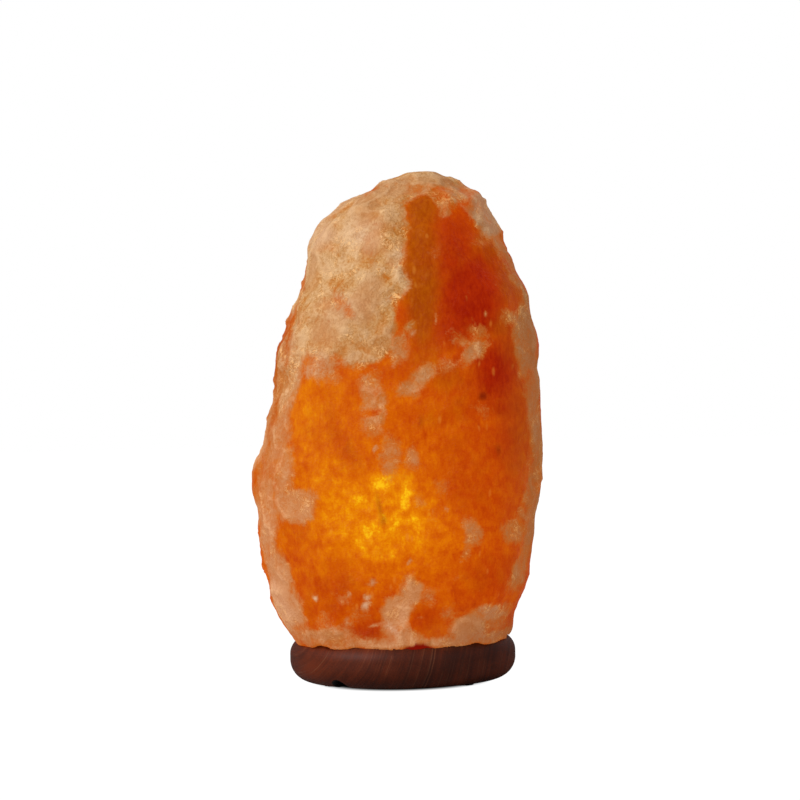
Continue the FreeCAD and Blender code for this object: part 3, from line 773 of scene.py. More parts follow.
chalk = chalk.mixed(lit * 0.85, srgb(156, 120, 92)).mixed(pale, srgb(236, 212, 184))
inside = ember.mixed(brownness.rise(0.05, 0.95), umber).mixed(redness.rise(0.0, 1.0), deep)
inside = inside.mixed(edging * 0.55, srgb(194, 102, 6))
haze = salt.mix(lit, srgb(102, 58, 17), srgb(165, 98, 45)).mixed(pale * 0.6, srgb(138, 88, 54))
shine = inside.mixed((frost * 1.05).least(0.92), haze)
# Painted glints: pale cream light on the curls in the frost's glow.
shine = shine.mixed(glinting_curls * (edging * 0.3 + frost * 0.14) * (1.0 - lit * 0.45), srgb(252, 190, 104))
# Painted sparkles in the glow of the clear salt.
shine = shine.mixed(sparkle_specks * (1.0 - frost) * 0.22, srgb(240, 160, 60))
# A painted glint: the front of the rim's lowest edge glows dark red.
painted_glint = field("painted_glint").rise(0.2, 0.7)
shine = shine.mixed(painted_glint, srgb(128, 0, 0))
# Painted shade dims the glow to the right and at the foot, and dark grains of other rock show in it.
shine = shine.mixed(painted_shade, srgb(104, 50, 18)).mixed(field("shade"), srgb(112, 22, 0))
stone = salt.mix(frost * (frost * 0.15 + 0.85), srgb(62, 18, 0), chalk)
ridge = field("ridge").rise(0.12, 0.7)
# Painted paler on ridges, with painted highlights on the curls.
stone = stone.mixed((ridge * 0.3 + glinting_curls * (0.5 - lit * 0.2)) * frost, srgb(244, 210, 164))
# The painted shade and the painted red glint darken the base colour too.
stone = stone.mixed(painted_shade * 0.8, srgb(92, 56, 38)).mixed(painted_glint, srgb(40, 2, 0))
facets = place.cells(420.0, "Color", distance="CHEBYCHEV")
facet_height = salt.node("ShaderNodeSeparateColor", {"Color": facets})
relief = soft * 0.6 + cloud * 1.1 + crinkle * 0.5 + facet_height * 0.05 + glinting_curls * 0.16
coat(
    salt,
    Base_Color=stone,
    Roughness=0.50 + frost * 0.14 - facet_height * 0.12,
    Specular_IOR_Level=0.06,
    Emission_Color=shine,
    Emission_Strength=1.0,
    Normal=relief.bump(0.8, 0.0018),
)

crystal = copy_of("salt_crystal", "salt_block", salt_finish)
remesh = crystal.modifiers.new("even_mesh", "REMESH")
remesh.mode = "VOXEL"
remesh.voxel_size = mesh_step
keep_result(crystal)
grow(crystal, hewn_tree, **block_reach, **hewn_sizes, rounding=edge_rounding)
crystal.data.polygons.foreach_set("use_smooth", [True] * len(crystal.data.polygons))

points = np.empty(len(crystal.data.vertices) * 3, np.float32)
crystal.data.vertices.foreach_get("co", points)
points = points.reshape(-1, 3) * 1000
x, y, z = points.T
normals = np.empty(points.size, np.float32)
crystal.data.vertex_normals.foreach_get("vector", normals)

# What faces down near the rim drops to the seat.
seat = seat_height * 1000
from_axis = np.hypot(x, y)
facing_down = fade(-normals.reshape(-1, 3)[:, 2], 0.1, 0.4)
facing_down *= (from_axis > 30) * fade(from_axis, base_reach - 2, base_reach - 4)
z -= (z - seat) * facing_down * fade(z, seat + 6, seat + 4)

# The left and right edges are knocked in.
heights = z.copy()
levels = np.arange(math.ceil(heights.min()), heights.max(), 4.0)
for side, knuckles in ((-1, left_knuckles), (1, right_knuckles)):
    widest = [np.max(x[np.abs(heights - level) < 3] * side) for level in levels]
    share = fade(x * side / np.interp(heights, levels, widest), 0.4, 0.9)
    inset = np.interp(heights, *zip(*knuckles))
    x -= side * inset * share * share * (3 - 2 * share)

# The rim is widened to the base's edge, and laid down over its shoulder.
from_axis = np.hypot(x, y)
azimuths = np.arctan2(y, x)
turn = np.radians(np.arange(-180, 181, 4.0))
rows = []
for level in np.arange(seat, seat + lip_height + 2, lip_row):
    near = np.abs(heights - level) < 1.0
    widest = [from_axis[near & (np.abs(azimuths - step) < lip_window)].max() for step in turn]
    rows.append(np.interp(azimuths, turn, widest))
row = np.clip((heights - seat) / lip_row, 0, len(rows) - 1.001)
step, every = row.astype(int), np.arange(len(heights))
rows = np.array(rows)
rim = rows[step, every] * (1 - row + step) + rows[step + 1, every] * (row - step)
share = fade(from_axis / rim, 0.75, 1) * fade(heights, seat + lip_height, seat)
widened = 1 + np.maximum((base_reach - lip_inset) / rim - 1, 0) * share
for measure in (x, y, from_axis):
    measure *= widened
shoulder = np.clip(from_axis - (base_reach - shoulder_radius), 0, lip_reach)
falls = shoulder_radius - np.sqrt(shoulder_radius**2 - shoulder**2)
z -= falls * fade(z, seat + lip_height, seat)
x[:] = np.clip(x, block_low.x * 1000, block_high.x * 1000)
crystal.data.vertices.foreach_set("co", (points / 1000).astype(np.float32).ravel())
crystal.data.update()

# The patches, bent a little by random swells. They are laid on the front, and random ones elsewhere.
across = x + ripples(points, 14, 1) * 0.7 + ripples(points, 5, 2) * 0.4
up = z + ripples(points, 14, 3) * 0.7 + ripples(points, 5, 4) * 0.4
front = fade(y, *front_depth)
elsewhere = 1 - front
far_frost = ripples(points, 60, 5) * 0.45 + ripples(points, 24, 6) * 0.3 + 0.5
far_frost = np.clip(far_frost + fade(z, *frosty_crest), 0, 1)
far_red = np.clip(ripples(points, 70, 7) * 0.5 + ripples(points, 26, 8) * 0.25 - 0.3, 0, 1)
far_brown = np.clip((z - 130) / 90 + ripples(points, 50, 9) * 0.3, 0, 0.9)
frost_field = laid_on(across, up, frosted_patches, softness=3.0)
frost_field -= laid_on(across, up, clear_pits, softness=2.4)
chip_field = laid_on(across, up, white_chips, softness=1.4)
frost_field = np.maximum(frost_field, chip_field)
flank = fade(np.abs(x), *flank_across) * fade(y, *flank_depth)
frost_field += (ripples(points, 30, 10) * 0.5 + 0.06) * flank
frost_field += fade(x, *shoulder_across) * fade(z, *shoulder_up) * 0.2

glow_field = np.full(len(points), 0.46) - fade(z, *dim_foot) * 0.10
glow_field -= fade(x, *dim_right) * (0.12 + fade(z, *dim_right_up) * 0.16)
for *patch, strength in bright_patches:
    glow_field += laid_on(across, up, [(*patch, strength)], softness=min(patch[2:4]) * 1.2) * front
for azimuth, rise, strength in hot_spots:
    c, s = math.cos(math.radians(azimuth)), math.sin(math.radians(azimuth))
    side = y * c - x * s
    rise = z - bulb_level * 1000 - rise
    spot = sum(peak * np.exp(-((side / wide) ** 2) - (rise / high) ** 2) for peak, wide, high in spot_glows)
    glow_field += spot * fade(x * c + y * s, 0, 40) * strength

pale_field = np.maximum(laid_on(across, up, pale_patches, softness=6.0), chip_field * 0.7)
lit_field = np.clip((178 - z) / 60 + np.clip((x - 20) / 50, 0, 0.5), 0, 1)
# Where the painted red glint lies on the rim's front.
painted_glint = np.hypot((x - glint_x) / glint_width, (z - glint_z) / glint_height)
glint_front = (y < -40) & (np.hypot(x, y) < 54)
# Painted shade, darker to the right, at the foot and at the top right corner.
painted_shade_field = fade(x, *shaded_right) * 0.34 + fade(z, *shaded_foot) * 0.16
painted_shade_field += fade(x, *shaded_corner_across) * fade(z, *shaded_corner_up) * 0.24
fields = {
    "frost": np.clip(frost_field, 0, 1.1) * front + far_frost * elsewhere,
    "redness": laid_on(across, up, red_patches, softness=9.0) * front + far_red * elsewhere,
    "brownness": laid_on(across, up, brown_patches, softness=7.0) * front + far_brown * elsewhere,
    "glow": glow_field,
    "pale": pale_field * front,
    "lit": lit_field * (1 - fade(x, *unlit_right) * 0.4),
    "painted_glint": np.clip(1.6 - painted_glint, 0, 1) * glint_front,
    "shade": laid_on(x, z, dark_inclusions, softness=1.2) * front,
    "painted_shade": painted_shade_field,
}
for name, values in fields.items():
    layer = crystal.data.attributes.new(name, "FLOAT", "POINT")
    layer.data.foreach_set("value", values.astype(np.float32))
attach(crystal, "lamp")
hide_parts("salt_crystal")


# ---------------------------------------------------------------- felt feet
# Three round pads punched from pressed wool felt and glued under the base between its screws. The cut
# edges are fuzzy, and the undersides are packed flat by the lamp's weight.
felt_dark, felt_mid, felt_pale = srgb(34, 29, 26), srgb(62, 54, 48), srgb(128, 116, 102)
felt_edge = 0.45
felt_nap, felt_fibre = 0.00022, 0.0005
foot_radius, foot_ring, foot_azimuth = 5.0, 0.037, 83.0


def reach(node):
    """How far a node reaches along X, its underside and its top, in millimetres."""
    low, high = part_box(node)
    return high.x * 1000, low.z * 1000, high.z * 1000


def softened(outline, soft):
    """An outline with its corners rounded, apart from those on the axis."""
    made = []
    for k, corner in enumerate(map(Vector, outline)):
        before, after = Vector(outline[k - 1]), Vector(outline[(k + 1) % len(outline)])
        if corner.x < 1e-6:
            made.append(corner)
            continue
        start = corner + (before - corner).normalized() * min(soft, (before - corner).length * 0.45)
        end = corner + (after - corner).normalized() * min(soft, (after - corner).length * 0.45)
        for share in (0, 1 / 3, 2 / 3, 1):
            made.append(start.lerp(corner, share).lerp(corner.lerp(end, share), share))
    return made


def shaped(name, shape, *materials):
    """A piece from a mesh under construction, with its faces turned outwards."""
    bmesh.ops.recalc_face_normals(shape, faces=shape.faces)
    mesh = bpy.data.meshes.new(name)
    shape.to_mesh(mesh)
    shape.free()
    return add_object(name, mesh, *materials)


def turned(name, outline, material, sides=96, soft=0.0, rows=0.0):
    """A piece of revolution about Z, from its outline as (radius, height) points in millimetres. Its
    corners are rounded by soft, and its upright walls are divided into rows of that height."""
    points = softened(outline, soft) if soft else [Vector(point) for point in outline]
    ring = points[0].x > 1e-6 and points[-1].x > 1e-6
    ends = points[1:] + points[:1] if ring else points[1:]
    line = []
    for start, end in zip(points, ends):
        parts = max(1, math.ceil(abs(end.y - start.y) / rows)) if rows else 1
        line += [start.lerp(end, k / parts) for k in range(parts)]
    if not ring:
        line.append(points[-1])
    shape = bmesh.new()
    circles = []
    for radius, height in line:
        steps = sides if radius > 1e-6 else 1
        angles = [2 * math.pi * k / steps for k in range(steps)]
        places = [(radius * math.cos(a) / 1000, radius * math.sin(a) / 1000, height / 1000) for a in angles]
        circles.append([shape.verts.new(place) for place in places])
    for low, high in zip(circles, circles[1:] + circles[:1] if ring else circles[1:]):
        for k in range(sides):
            corners = [low[k % len(low)], low[(k + 1) % sides % len(low)]]
            corners += [high[(k + 1) % sides % len(high)], high[k % len(high)]]
            corners = list(dict.fromkeys(corners))
            if len(corners) > 2:
                shape.faces.new(corners)
    return shaped(name, shape, material)


ring_tree, given = geometry_tree("set_in_a_ring", "ring_radius", "azimuth", counts=["count"])
ring = given["Geometry"]
places = ring.node("GeometryNodeMeshLine", {"Count": given["count"], "Offset": (0.0, 0.0, 0.0)})
angle = given["azimuth"] + ring.node("GeometryNodeInputIndex") * (2 * math.pi) / given["count"]
spot = [ring.math(part, angle) * given["ring_radius"] for part in ("COSINE", "SINE")]
places = places.moved(Position=ring.point(*spot))
facing = ring.node("FunctionNodeEulerToRotation", {0: ring.point(z=angle)})
copies = ring.node("GeometryNodeInstanceOnPoints", {"Points": places, "Instance": ring, "Rotation": facing})
mesh_end(given, copies)

nap_tree, given = geometry_tree("felt_nap", "nap", "fibre_size")
nap = given["Geometry"]
fibres = {"Scale": 1.0 / given["fibre_size"], "Detail": 3.0, "Roughness": 0.7}
fibres = nap.node("ShaderNodeTexNoise", fibres)
sunk = nap.node("GeometryNodeInputNormal").scaled(fibres.rise(0.3, 0.7) * -1.0 * given["nap"])
mesh_end(given, nap.moved(Offset=sunk))

felt_finish, felt, place = new_finish("felt")
tangle = place.noise(900.0, 4.0, distortion=2.5)
hairs = place.noise(2600.0, 2.0, distortion=1.5, noise_type="RIDGED_MULTIFRACTAL")
wool = tangle.rise(0.35, 0.65).ramp((0.0, felt_dark), (1.0, felt_mid))
coat(
    felt,
    Base_Color=wool.mixed(hairs.rise(0.7, 1.3) * 0.45, felt_pale),
    Roughness=0.92 + tangle * 0.06,
    Normal=(tangle + hairs * 0.6).bump(0.8, 0.0003),
    Sheen_Weight=0.3,
    Specular_IOR_Level=0.1,
)

_, foot_low, foot_high = reach("felt_feet")
feet = turned(
    "foot_pads",
    [(0, foot_low), (foot_radius, foot_low), (foot_radius, foot_high), (0, foot_high)],
    felt_finish,
    sides=72,
    soft=felt_edge,
    rows=0.25,
)
grow(feet, nap_tree, nap=felt_nap, fibre_size=felt_fibre)
grow(feet, ring_tree, count=3, ring_radius=foot_ring, azimuth=math.radians(foot_azimuth))
smooth(feet, 60)
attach(feet, "lamp")
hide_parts("felt_feet")


# ---------------------------------------------------------------- base screws
# Three countersunk chipboard screws of zinc-plated steel, driven up through the wood into the salt.
# They have a cross recess, and the thread runs to the point.
screw_radius, screw_head_radius, screw_head_rise = 2.0, 4.0, 2.0
screw_pitch, screw_thread_depth, screw_plain_shank = 0.0018, 0.00045, 9.0
screw_tip = 5.0
recess_arm, recess_width, recess_depth, recess_taper = 2.4, 0.55, 1.4, 0.55
screw_ring, screw_azimuth = 0.037, 23.0
wall_edge = 0.00005


def metal(name, pale, dull, rough, grain=(1.0, 1.0, 1.0), fineness=900.0):
    """A bare or plated metal, with drawn or rolled marks one way and a tarnish that comes and goes."""
    material, sheet, place = new_finish(name)
    marks = place.mapped(Scale=grain).noise(fineness, 3.0, 0.65)
    tarnish = place.noise(130.0, 5.0, 0.62)
    dulled = tarnish.rise(0.40, 0.68)
    coat(
        sheet,
        Base_Color=sheet.mix(dulled * 0.8 + marks * 0.25, pale, dull),
        Metallic=1.0,
        Roughness=rough + marks * 0.18 + dulled * 0.14,
        Normal=(marks * 0.8 + tarnish * 0.3).bump(0.25, 0.00012),
    )
    return material


def cut_from(piece, cutter):
    """Takes the cutter's shape out of the piece, and the cutter away."""
    cut = piece.modifiers.new("cut", "BOOLEAN")
    cut.operation = "DIFFERENCE"
    cut.solver = "EXACT"
    cut.object = cutter
    keep_result(piece)
    bpy.data.meshes.remove(cutter.data)
    return piece


def prism(name, corners, low, high, narrowing=1.0):
    """An upright bar on (x, y) corners in millimetres, whose far end is narrowed."""
    shape = bmesh.new()
    ends = [
        [shape.verts.new((x * size / 1000, y * size / 1000, z / 1000)) for x, y in corners]
        for z, size in ((low, 1.0), (high, narrowing))
    ]
    for end in ends:
        shape.faces.new(end)
    for k in range(len(corners)):
        shape.faces.new((ends[0][k - 1], ends[0][k], ends[1][k], ends[1][k - 1]))
    return shaped(name, shape)


def cut_thread(piece, **sizes):
    """Cuts a thread into a piece's upright walls: all of them, where no limits are given."""
    grow(piece, thread_tree, **{"start": -1.0, "end": 1.0, "inner": 0.0, "outer": 1.0, **sizes})


thread_sizes = ("pitch", "depth", "sharpness", "start", "end", "inner", "outer")
thread_tree, given = geometry_tree("cut_thread", *thread_sizes)
wall = given["Geometry"]
place = wall.node("GeometryNodeInputPosition")
x, y, z = (place.axis(letter) for letter in "XYZ")
radius = wall.math("SQRT", x * x + y * y)
turns = z / given["pitch"] - wall.math("ARCTAN2", y, x) / (2 * math.pi)
crest = wall.math("POWER", wall.math("COSINE", turns * (2 * math.pi)) * 0.5 + 0.5, given["sharpness"])
runs = z.rise(given["start"], given["start"] + given["pitch"])
runs = runs * (1.0 - z.rise(given["end"] - given["pitch"], given["end"]))
walls = radius.rise(given["inner"], given["inner"] + wall_edge)
walls = walls * (1.0 - radius.rise(given["outer"], given["outer"] + wall_edge))
cut = (1.0 - crest) * given["depth"].least(radius * 0.3) * runs * walls / radius.most(0.00001)
mesh_end(given, wall.moved(Offset=wall.point(x * cut * -1.0, y * cut * -1.0)))

zinc_finish = metal("zinc_plated_steel", srgb(196, 198, 196), srgb(150, 148, 132), 0.26, fineness=700.0)
_, screw_low, screw_high = reach("base_screws")
screws = turned(
    "wood_screws",
    [
        (0, screw_low),
        (screw_head_radius, screw_low),
        (screw_radius, screw_low + screw_head_rise),
        (screw_radius, screw_high - screw_tip),
        (0, screw_high),
    ],
    zinc_finish,
    sides=28,
    soft=0.25,
    rows=0.22,
)
arm, half = recess_arm, recess_width
cross = [(arm, half), (half, half), (half, arm), (-half, arm), (-half, half), (-arm, half)]
cross += [(-x, -y) for x, y in cross]
cut_from(screws, prism("recess", cross, screw_low - 0.2, screw_low + recess_depth, recess_taper))
cut_thread(
    screws,
    pitch=screw_pitch,
    depth=screw_thread_depth,
    sharpness=2.5,
    start=(screw_low + screw_plain_shank) / 1000,
    outer=screw_radius / 1000 + 0.0001,
)
grow(screws, ring_tree, count=3, ring_radius=screw_ring, azimuth=math.radians(screw_azimuth))
smooth(screws, 42)
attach(screws, "lamp")
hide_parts("base_screws")


# ---------------------------------------------------------------- cover plate
# A disc pressed from 1 mm zinc-plated sheet, with its rim turned down to stiffen it. The lampholder is
# nutted to its middle, and it stops against the step in the base.
plate_rim_drop, plate_sheet, nipple_hole = 2.0, 1.0, 5.05
plate_bend = 0.9
bead_radius, bead_width, bead_rise = 17.5, 2.2, 0.35

plate_reach, plate_low, plate_high = reach("cover_plate")
plate_under = plate_low + plate_rim_drop
plate = turned(
    "pressed_plate",
    [
        (nipple_hole, plate_under),
        (bead_radius - bead_width, plate_under),
        (bead_radius, plate_under + bead_rise),
        (bead_radius + bead_width, plate_under),
        (plate_reach - plate_sheet, plate_under),
        (plate_reach - plate_sheet, plate_low),
        (plate_reach, plate_low),
        (plate_reach, plate_high),
        (nipple_hole, plate_high),
    ],
    zinc_finish,
    sides=128,
    soft=plate_bend,
)
smooth(plate, 50)
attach(plate, "fitting")
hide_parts("cover_plate")


# ---------------------------------------------------------------- spring clip
# One strip of spring steel under the lampholder, bent up into two arms. They press against the wall of
# the base's hole and hold the fitting in until it is pulled.
clip_edge = 0.00018


def eased(node, name, material, width, edge_angle=35.0):
    """A CAD node's shape with its sharp edges broken, as they are on a pressed or moulded piece."""
    piece = copy_of(node, name, material)
    shape = bmesh.new()
    shape.from_mesh(piece.data)
    bmesh.ops.dissolve_limit(shape, angle_limit=math.radians(0.5), verts=shape.verts, edges=shape.edges)
    shape.to_mesh(piece.data)
    shape.free()
    bevel = piece.modifiers.new("edges", "BEVEL")
    bevel.width = width
    bevel.segments = 2
    bevel.limit_method = "ANGLE"
    bevel.angle_limit = math.radians(edge_angle)
    keep_result(piece)
    piece.data.materials.clear()
    piece.data.materials.append(material)
    smooth(piece, edge_angle)
    return piece


spring_finish = metal(
    "spring_steel", srgb(168, 172, 180), srgb(112, 114, 122), 0.24, (0.06, 1.0, 0.06), 1500.0
)
clip = eased("spring_clip", "sprung_arms", spring_finish, clip_edge)
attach(clip, "fitting")
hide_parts("spring_clip")


# ---------------------------------------------------------------- nipple, washer and nut
# A short tube of turned brass with an M10 thread from end to end, which lets the cord in. It goes
# through the plate and the clip, and a toothed washer and a hexagon nut hold it from below.
pipe_pitch, pipe_depth = 0.001, 0.00045
nipple_bore_radius, nut_flat, nut_chamfer = 3.5, 7.0, 0.7
washer_teeth, washer_tooth_depth, washer_tooth_foot, washer_twist = 14, 1.0, 6.3, 0.16

brass_finish = metal("brass", srgb(222, 186, 112), srgb(168, 124, 64), 0.22, (1.0, 1.0, 0.4), 1100.0)
nipple_reach, nipple_low, nipple_high = reach("entry_nipple")
nipple = turned(
    "threaded_tube",
    [
        (nipple_bore_radius, nipple_low),
        (nipple_reach, nipple_low),
        (nipple_reach, nipple_high),
        (nipple_bore_radius, nipple_high),
    ],
    brass_finish,
    sides=64,
    soft=0.3,
    rows=0.14,
)
cut_thread(nipple, pitch=pipe_pitch, depth=pipe_depth, sharpness=1.3, inner=(nipple_reach - 0.4) / 1000)
smooth(nipple, 70)
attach(nipple, "fitting")
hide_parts("entry_nipple")

nut_reach, nut_low, nut_high = reach("nipple_nut")
nut = turned(
    "hexagon_nut",
    [
        (nipple_hole, nut_low),
        (nut_flat, nut_low),
        (nut_reach, nut_low + nut_chamfer),
        (nut_reach, nut_high - nut_chamfer),
        (nut_flat, nut_high),
        (nipple_hole, nut_high),
    ],
    brass_finish,
    sides=96,
    soft=0.12,
    rows=0.2,
)
for corner in nut.data.vertices:
    from_axis = math.hypot(corner.co.x, corner.co.y) * 1000
    off_flat = (math.atan2(corner.co.y, corner.co.x) % (math.pi / 3)) - math.pi / 6
    flat = nut_flat / math.cos(off_flat)
    if from_axis > flat:
        corner.co.x *= flat / from_axis
        corner.co.y *= flat / from_axis
smooth(nut, 28)
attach(nut, "fitting")
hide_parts("nipple_nut")

washer_reach, washer_low, washer_high = reach("lock_washer")
washer = turned(
    "toothed_washer",
    [
        (nipple_hole, washer_low + washer_twist),
        (washer_tooth_foot, washer_low + washer_twist),
        (washer_reach, washer_low + washer_twist),
        (washer_reach, washer_high - washer_twist),
        (washer_tooth_foot, washer_high - washer_twist),
        (nipple_hole, washer_high - washer_twist),
    ],
    spring_finish,
    sides=washer_teeth * 12,
    soft=0.08,
)
for corner in washer.data.vertices:
    from_axis = math.hypot(corner.co.x, corner.co.y) * 1000
    tooth = math.atan2(corner.co.y, corner.co.x) * washer_teeth
    out = max(0.0, (from_axis - washer_tooth_foot) / (washer_reach - washer_tooth_foot))
    gap = max(0.0, min(1.0, 1.4 - 3.0 * abs(math.cos(tooth / 2))))
    shrink = 1 - out * gap * washer_tooth_depth / from_axis
    corner.co.x *= shrink
    corner.co.y *= shrink
    corner.co.z += math.sin(tooth) * out * washer_twist / 1000
smooth(washer, 40)
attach(washer, "fitting")
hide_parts("lock_washer")


# ---------------------------------------------------------------- lampholder
# A small lampholder moulded in black thermoset, in two parts that screw together round a porcelain
# block. The lower cup screws onto the nipple, and the fluted upper part covers the threaded shell.
cup_foot_radius, cup_wall, cup_floor = 3.0, 1.8, 5.0
plastic_dark, plastic_mid = srgb(19, 19, 20), srgb(40, 39, 39)
skirt_edge = 0.0003

plastic_finish, plastic, place = new_finish("black_plastic")
flow = place.noise(120.0, 4.0, distortion=2.0)
peel = place.noise(1600.0, 2.0)
flecks = (1.0 - place.cells(2400.0).rise(0.1, 0.35)) * 0.3
coat(
    plastic,
    Base_Color=(flow.rise(0.35, 0.7) * 0.7 + flecks).ramp((0.0, plastic_dark), (1.0, plastic_mid)),
    Roughness=0.30 + flow * 0.16 + flecks * 0.3,
    Normal=(peel * 0.6 + flow * 0.4).bump(0.18, 0.0002),
)

cup_reach, cup_low, cup_high = reach("holder_cap")
cup_inside = cup_reach - cup_wall
bend = [math.radians(angle) for angle in range(-90, 1, 10)]
cup = turned(
    "holder_cup",
    [(nipple_hole, cup_low)]
    + [
        (cup_reach + cup_foot_radius * (math.cos(a) - 1), cup_low + cup_foot_radius * (math.sin(a) + 1))
        for a in bend
    ]
    + [
        (cup_reach, cup_high),
        (cup_inside, cup_high),
        (cup_inside, cup_low + cup_floor),
        (nipple_hole, cup_low + cup_floor),
    ],
    plastic_finish,
    soft=0.25,
)
smooth(cup, 40)
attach(cup, "fitting")
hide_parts("holder_cap")

skirt = eased("holder_skirt", "fluted_skirt", plastic_finish, skirt_edge)
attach(skirt, "fitting")
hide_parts("holder_skirt")


# ---------------------------------------------------------------- contact block and its metalwork
# A block of unglazed porcelain. Two brass screws clamp the cord's cores in it from below, a threaded
# brass shell stands on it, and a sprung brass tongue in its middle meets the bulb's tip.
block_edge = 0.0003
terminal_radius, terminal_shank, terminal_head_rise = 2.2, 1.5, 2.0
terminal_slot, terminal_slot_depth = 0.4, 1.0
terminal_pitch, terminal_thread_depth = 0.0005, 0.00022
shell_bore, shell_wall = 7.15, 0.4
cap_pitch, shell_thread_depth = 0.002822, 0.00045
tongue_edge = 0.0001

porcelain_finish, fired, place = new_finish("porcelain")
body_clay = place.noise(160.0, 5.0)
grit = place.noise(2200.0, 3.0, 0.7)
iron = (1.0 - place.cells(420.0).rise(0.03, 0.09)) * 0.55
clay = (body_clay * 0.6 + grit * 0.4).ramp((0.3, srgb(216, 210, 196)), (0.7, srgb(238, 234, 224)))
coat(
    fired,
    Base_Color=clay.mixed(iron, srgb(120, 92, 66)),
    Roughness=0.52 + grit * 0.25,
    Normal=(grit + body_clay * 0.4).bump(0.3, 0.00015),
)

porcelain = eased("contact_block", "porcelain_block", porcelain_finish, block_edge)
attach(porcelain, "fitting")
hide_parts("contact_block")

_, terminal_low, terminal_high = reach("terminal_screws")
terminal_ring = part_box("terminal_screws")[1].y * 1000 - terminal_radius
terminals = turned(
    "clamp_screws",
    [
        (0, terminal_low),
        (terminal_radius, terminal_low),
        (terminal_radius, terminal_low + terminal_head_rise),
        (terminal_shank, terminal_low + terminal_head_rise),
        (terminal_shank, terminal_high),
        (0, terminal_high),
    ],
    brass_finish,
    sides=40,
    soft=0.2,
    rows=0.09,
)
across = terminal_radius + 0.2
half = terminal_slot
slot = [(-half, -across), (half, -across), (half, across), (-half, across)]
cut_from(terminals, prism("slot", slot, terminal_low - 0.2, terminal_low + terminal_slot_depth))
cut_thread(
    terminals,
    pitch=terminal_pitch,
    depth=terminal_thread_depth,
    sharpness=1.3,
    start=(terminal_low + terminal_head_rise) / 1000,
    inner=0.001,
    outer=(terminal_shank + 0.05) / 1000,
)
grow(terminals, ring_tree, count=2, ring_radius=terminal_ring / 1000, azimuth=math.pi / 2)
smooth(terminals, 42)
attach(terminals, "fitting")
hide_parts("terminal_screws")

shell_reach, shell_low, shell_high = reach("screw_shell")
shell_inside = shell_bore + shell_thread_depth * 1000
shell = turned(
    "threaded_shell",
    [
        (shell_inside, shell_low),
        (shell_reach, shell_low),
        (shell_reach, shell_low + shell_wall),
        (shell_inside + shell_wall, shell_low + shell_wall),
        (shell_inside + shell_wall, shell_high),
        (shell_inside, shell_high),
    ],
    brass_finish,
    soft=0.15,
    rows=0.28,
)
cut_thread(
    shell,
    pitch=cap_pitch,
    depth=shell_thread_depth,
    sharpness=1.0,
    start=(shell_low + 1.0) / 1000,
    end=shell_high / 1000,
    outer=(shell_inside + shell_wall + 0.2) / 1000,
)
smooth(shell, 50)
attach(shell, "fitting")
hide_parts("screw_shell")

tongue = eased("centre_contact", "contact_tongue", brass_finish, tongue_edge)
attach(tongue, "fitting")
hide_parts("centre_contact")


# ---------------------------------------------------------------- bulb's cap
# An E14 cap: a thin nickel-plated brass sleeve with a rolled thread, flared round the glass. A drop of
# solder closes its end in a ring of black glass, and grey cement holds the bulb in it.
cap_radius, cap_wall, cap_thread_depth, cap_flare_rise = 6.9, 0.3, 0.0005, 2.0
thread_clear = 6.05
neck_radius = 6.3

nickel_finish = metal(
    "nickel_plated_brass", srgb(206, 200, 188), srgb(158, 146, 122), 0.2, (1.0, 1.0, 0.3), 1300.0
)
cap_reach, cap_low, cap_high = reach("bulb_cap")
flare_foot = cap_high - cap_flare_rise
cap = turned(
    "threaded_cap",
    [
        (cap_radius - cap_wall, cap_low),
        (cap_radius, cap_low),
        (cap_radius, flare_foot),
        (cap_reach, flare_foot + 1.0),
        (cap_reach, cap_high),
        (cap_reach - cap_wall, cap_high),
        (cap_reach - cap_wall, flare_foot + 1.0),
        (cap_radius - cap_wall, flare_foot),
    ],
    nickel_finish,
    soft=0.12,
    rows=0.28,
)
cut_thread(
    cap,
    pitch=cap_pitch,
    depth=cap_thread_depth,
    sharpness=1.0,
    start=cap_low / 1000,
    end=(cap_high - 5.5) / 1000,
)
smooth(cap, 50)
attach(cap, "bulb")
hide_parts("bulb_cap")

solder_finish, tin, place = new_finish("solder")
frozen = place.cells(900.0, feature="SMOOTH_F1")
oxide = place.noise(500.0, 4.0, distortion=1.0)
dull = oxide.rise(0.35, 0.65) * 0.7 + frozen * 0.3
coat(
    tin,
    Base_Color=dull.ramp((0.0, srgb(178, 178, 176)), (1.0, srgb(116, 114, 110))),
    Metallic=1.0,
    Roughness=0.32 + oxide * 0.3,
    Normal=(frozen + oxide * 0.7).bump(0.5, 0.0002),
)

pip_reach, pip_low, pip_high = reach("bulb_contact")
pip_bend = (pip_reach**2 + (pip_high - pip_low) ** 2) / (2 * (pip_high - pip_low))
pip_arc = [math.asin(pip_reach / pip_bend) * k / 12 for k in range(13)]
pip = turned(
    "solder_pip",
    [(pip_bend * math.sin(a), pip_low + pip_bend * (1 - math.cos(a))) for a in pip_arc] + [(0, pip_high)],
    solder_finish,
    sides=48,
)
smooth(pip, 40)
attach(pip, "bulb_tip")
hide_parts("bulb_contact")

black_glass_finish, vitrite, place = new_finish("black_glass")
swirl = place.noise(260.0, 3.0, distortion=3.0)
seeds = place.cells(900.0)
coat(
    vitrite,
    Base_Color=swirl.rise(0.35, 0.65).ramp((0.0, srgb(10, 9, 12)), (1.0, srgb(34, 28, 40))),
    Roughness=0.08 + swirl * 0.12,
    Normal=(swirl - seeds * 0.2).bump(0.2, 0.0003),
)

ring_reach, ring_low, ring_high = reach("bulb_insulator")
ring_foot = pip_reach + 1.5
insulator = turned(
    "black_glass_ring",
    [
        (0, ring_low),
        (ring_foot, ring_low),
        (ring_reach, ring_high - 0.5),
        (ring_reach, ring_high),
        (0, ring_high),
    ],
    black_glass_finish,
    sides=72,
    soft=0.5,
)
smooth(insulator, 35)
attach(insulator, "bulb")
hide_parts("bulb_insulator")

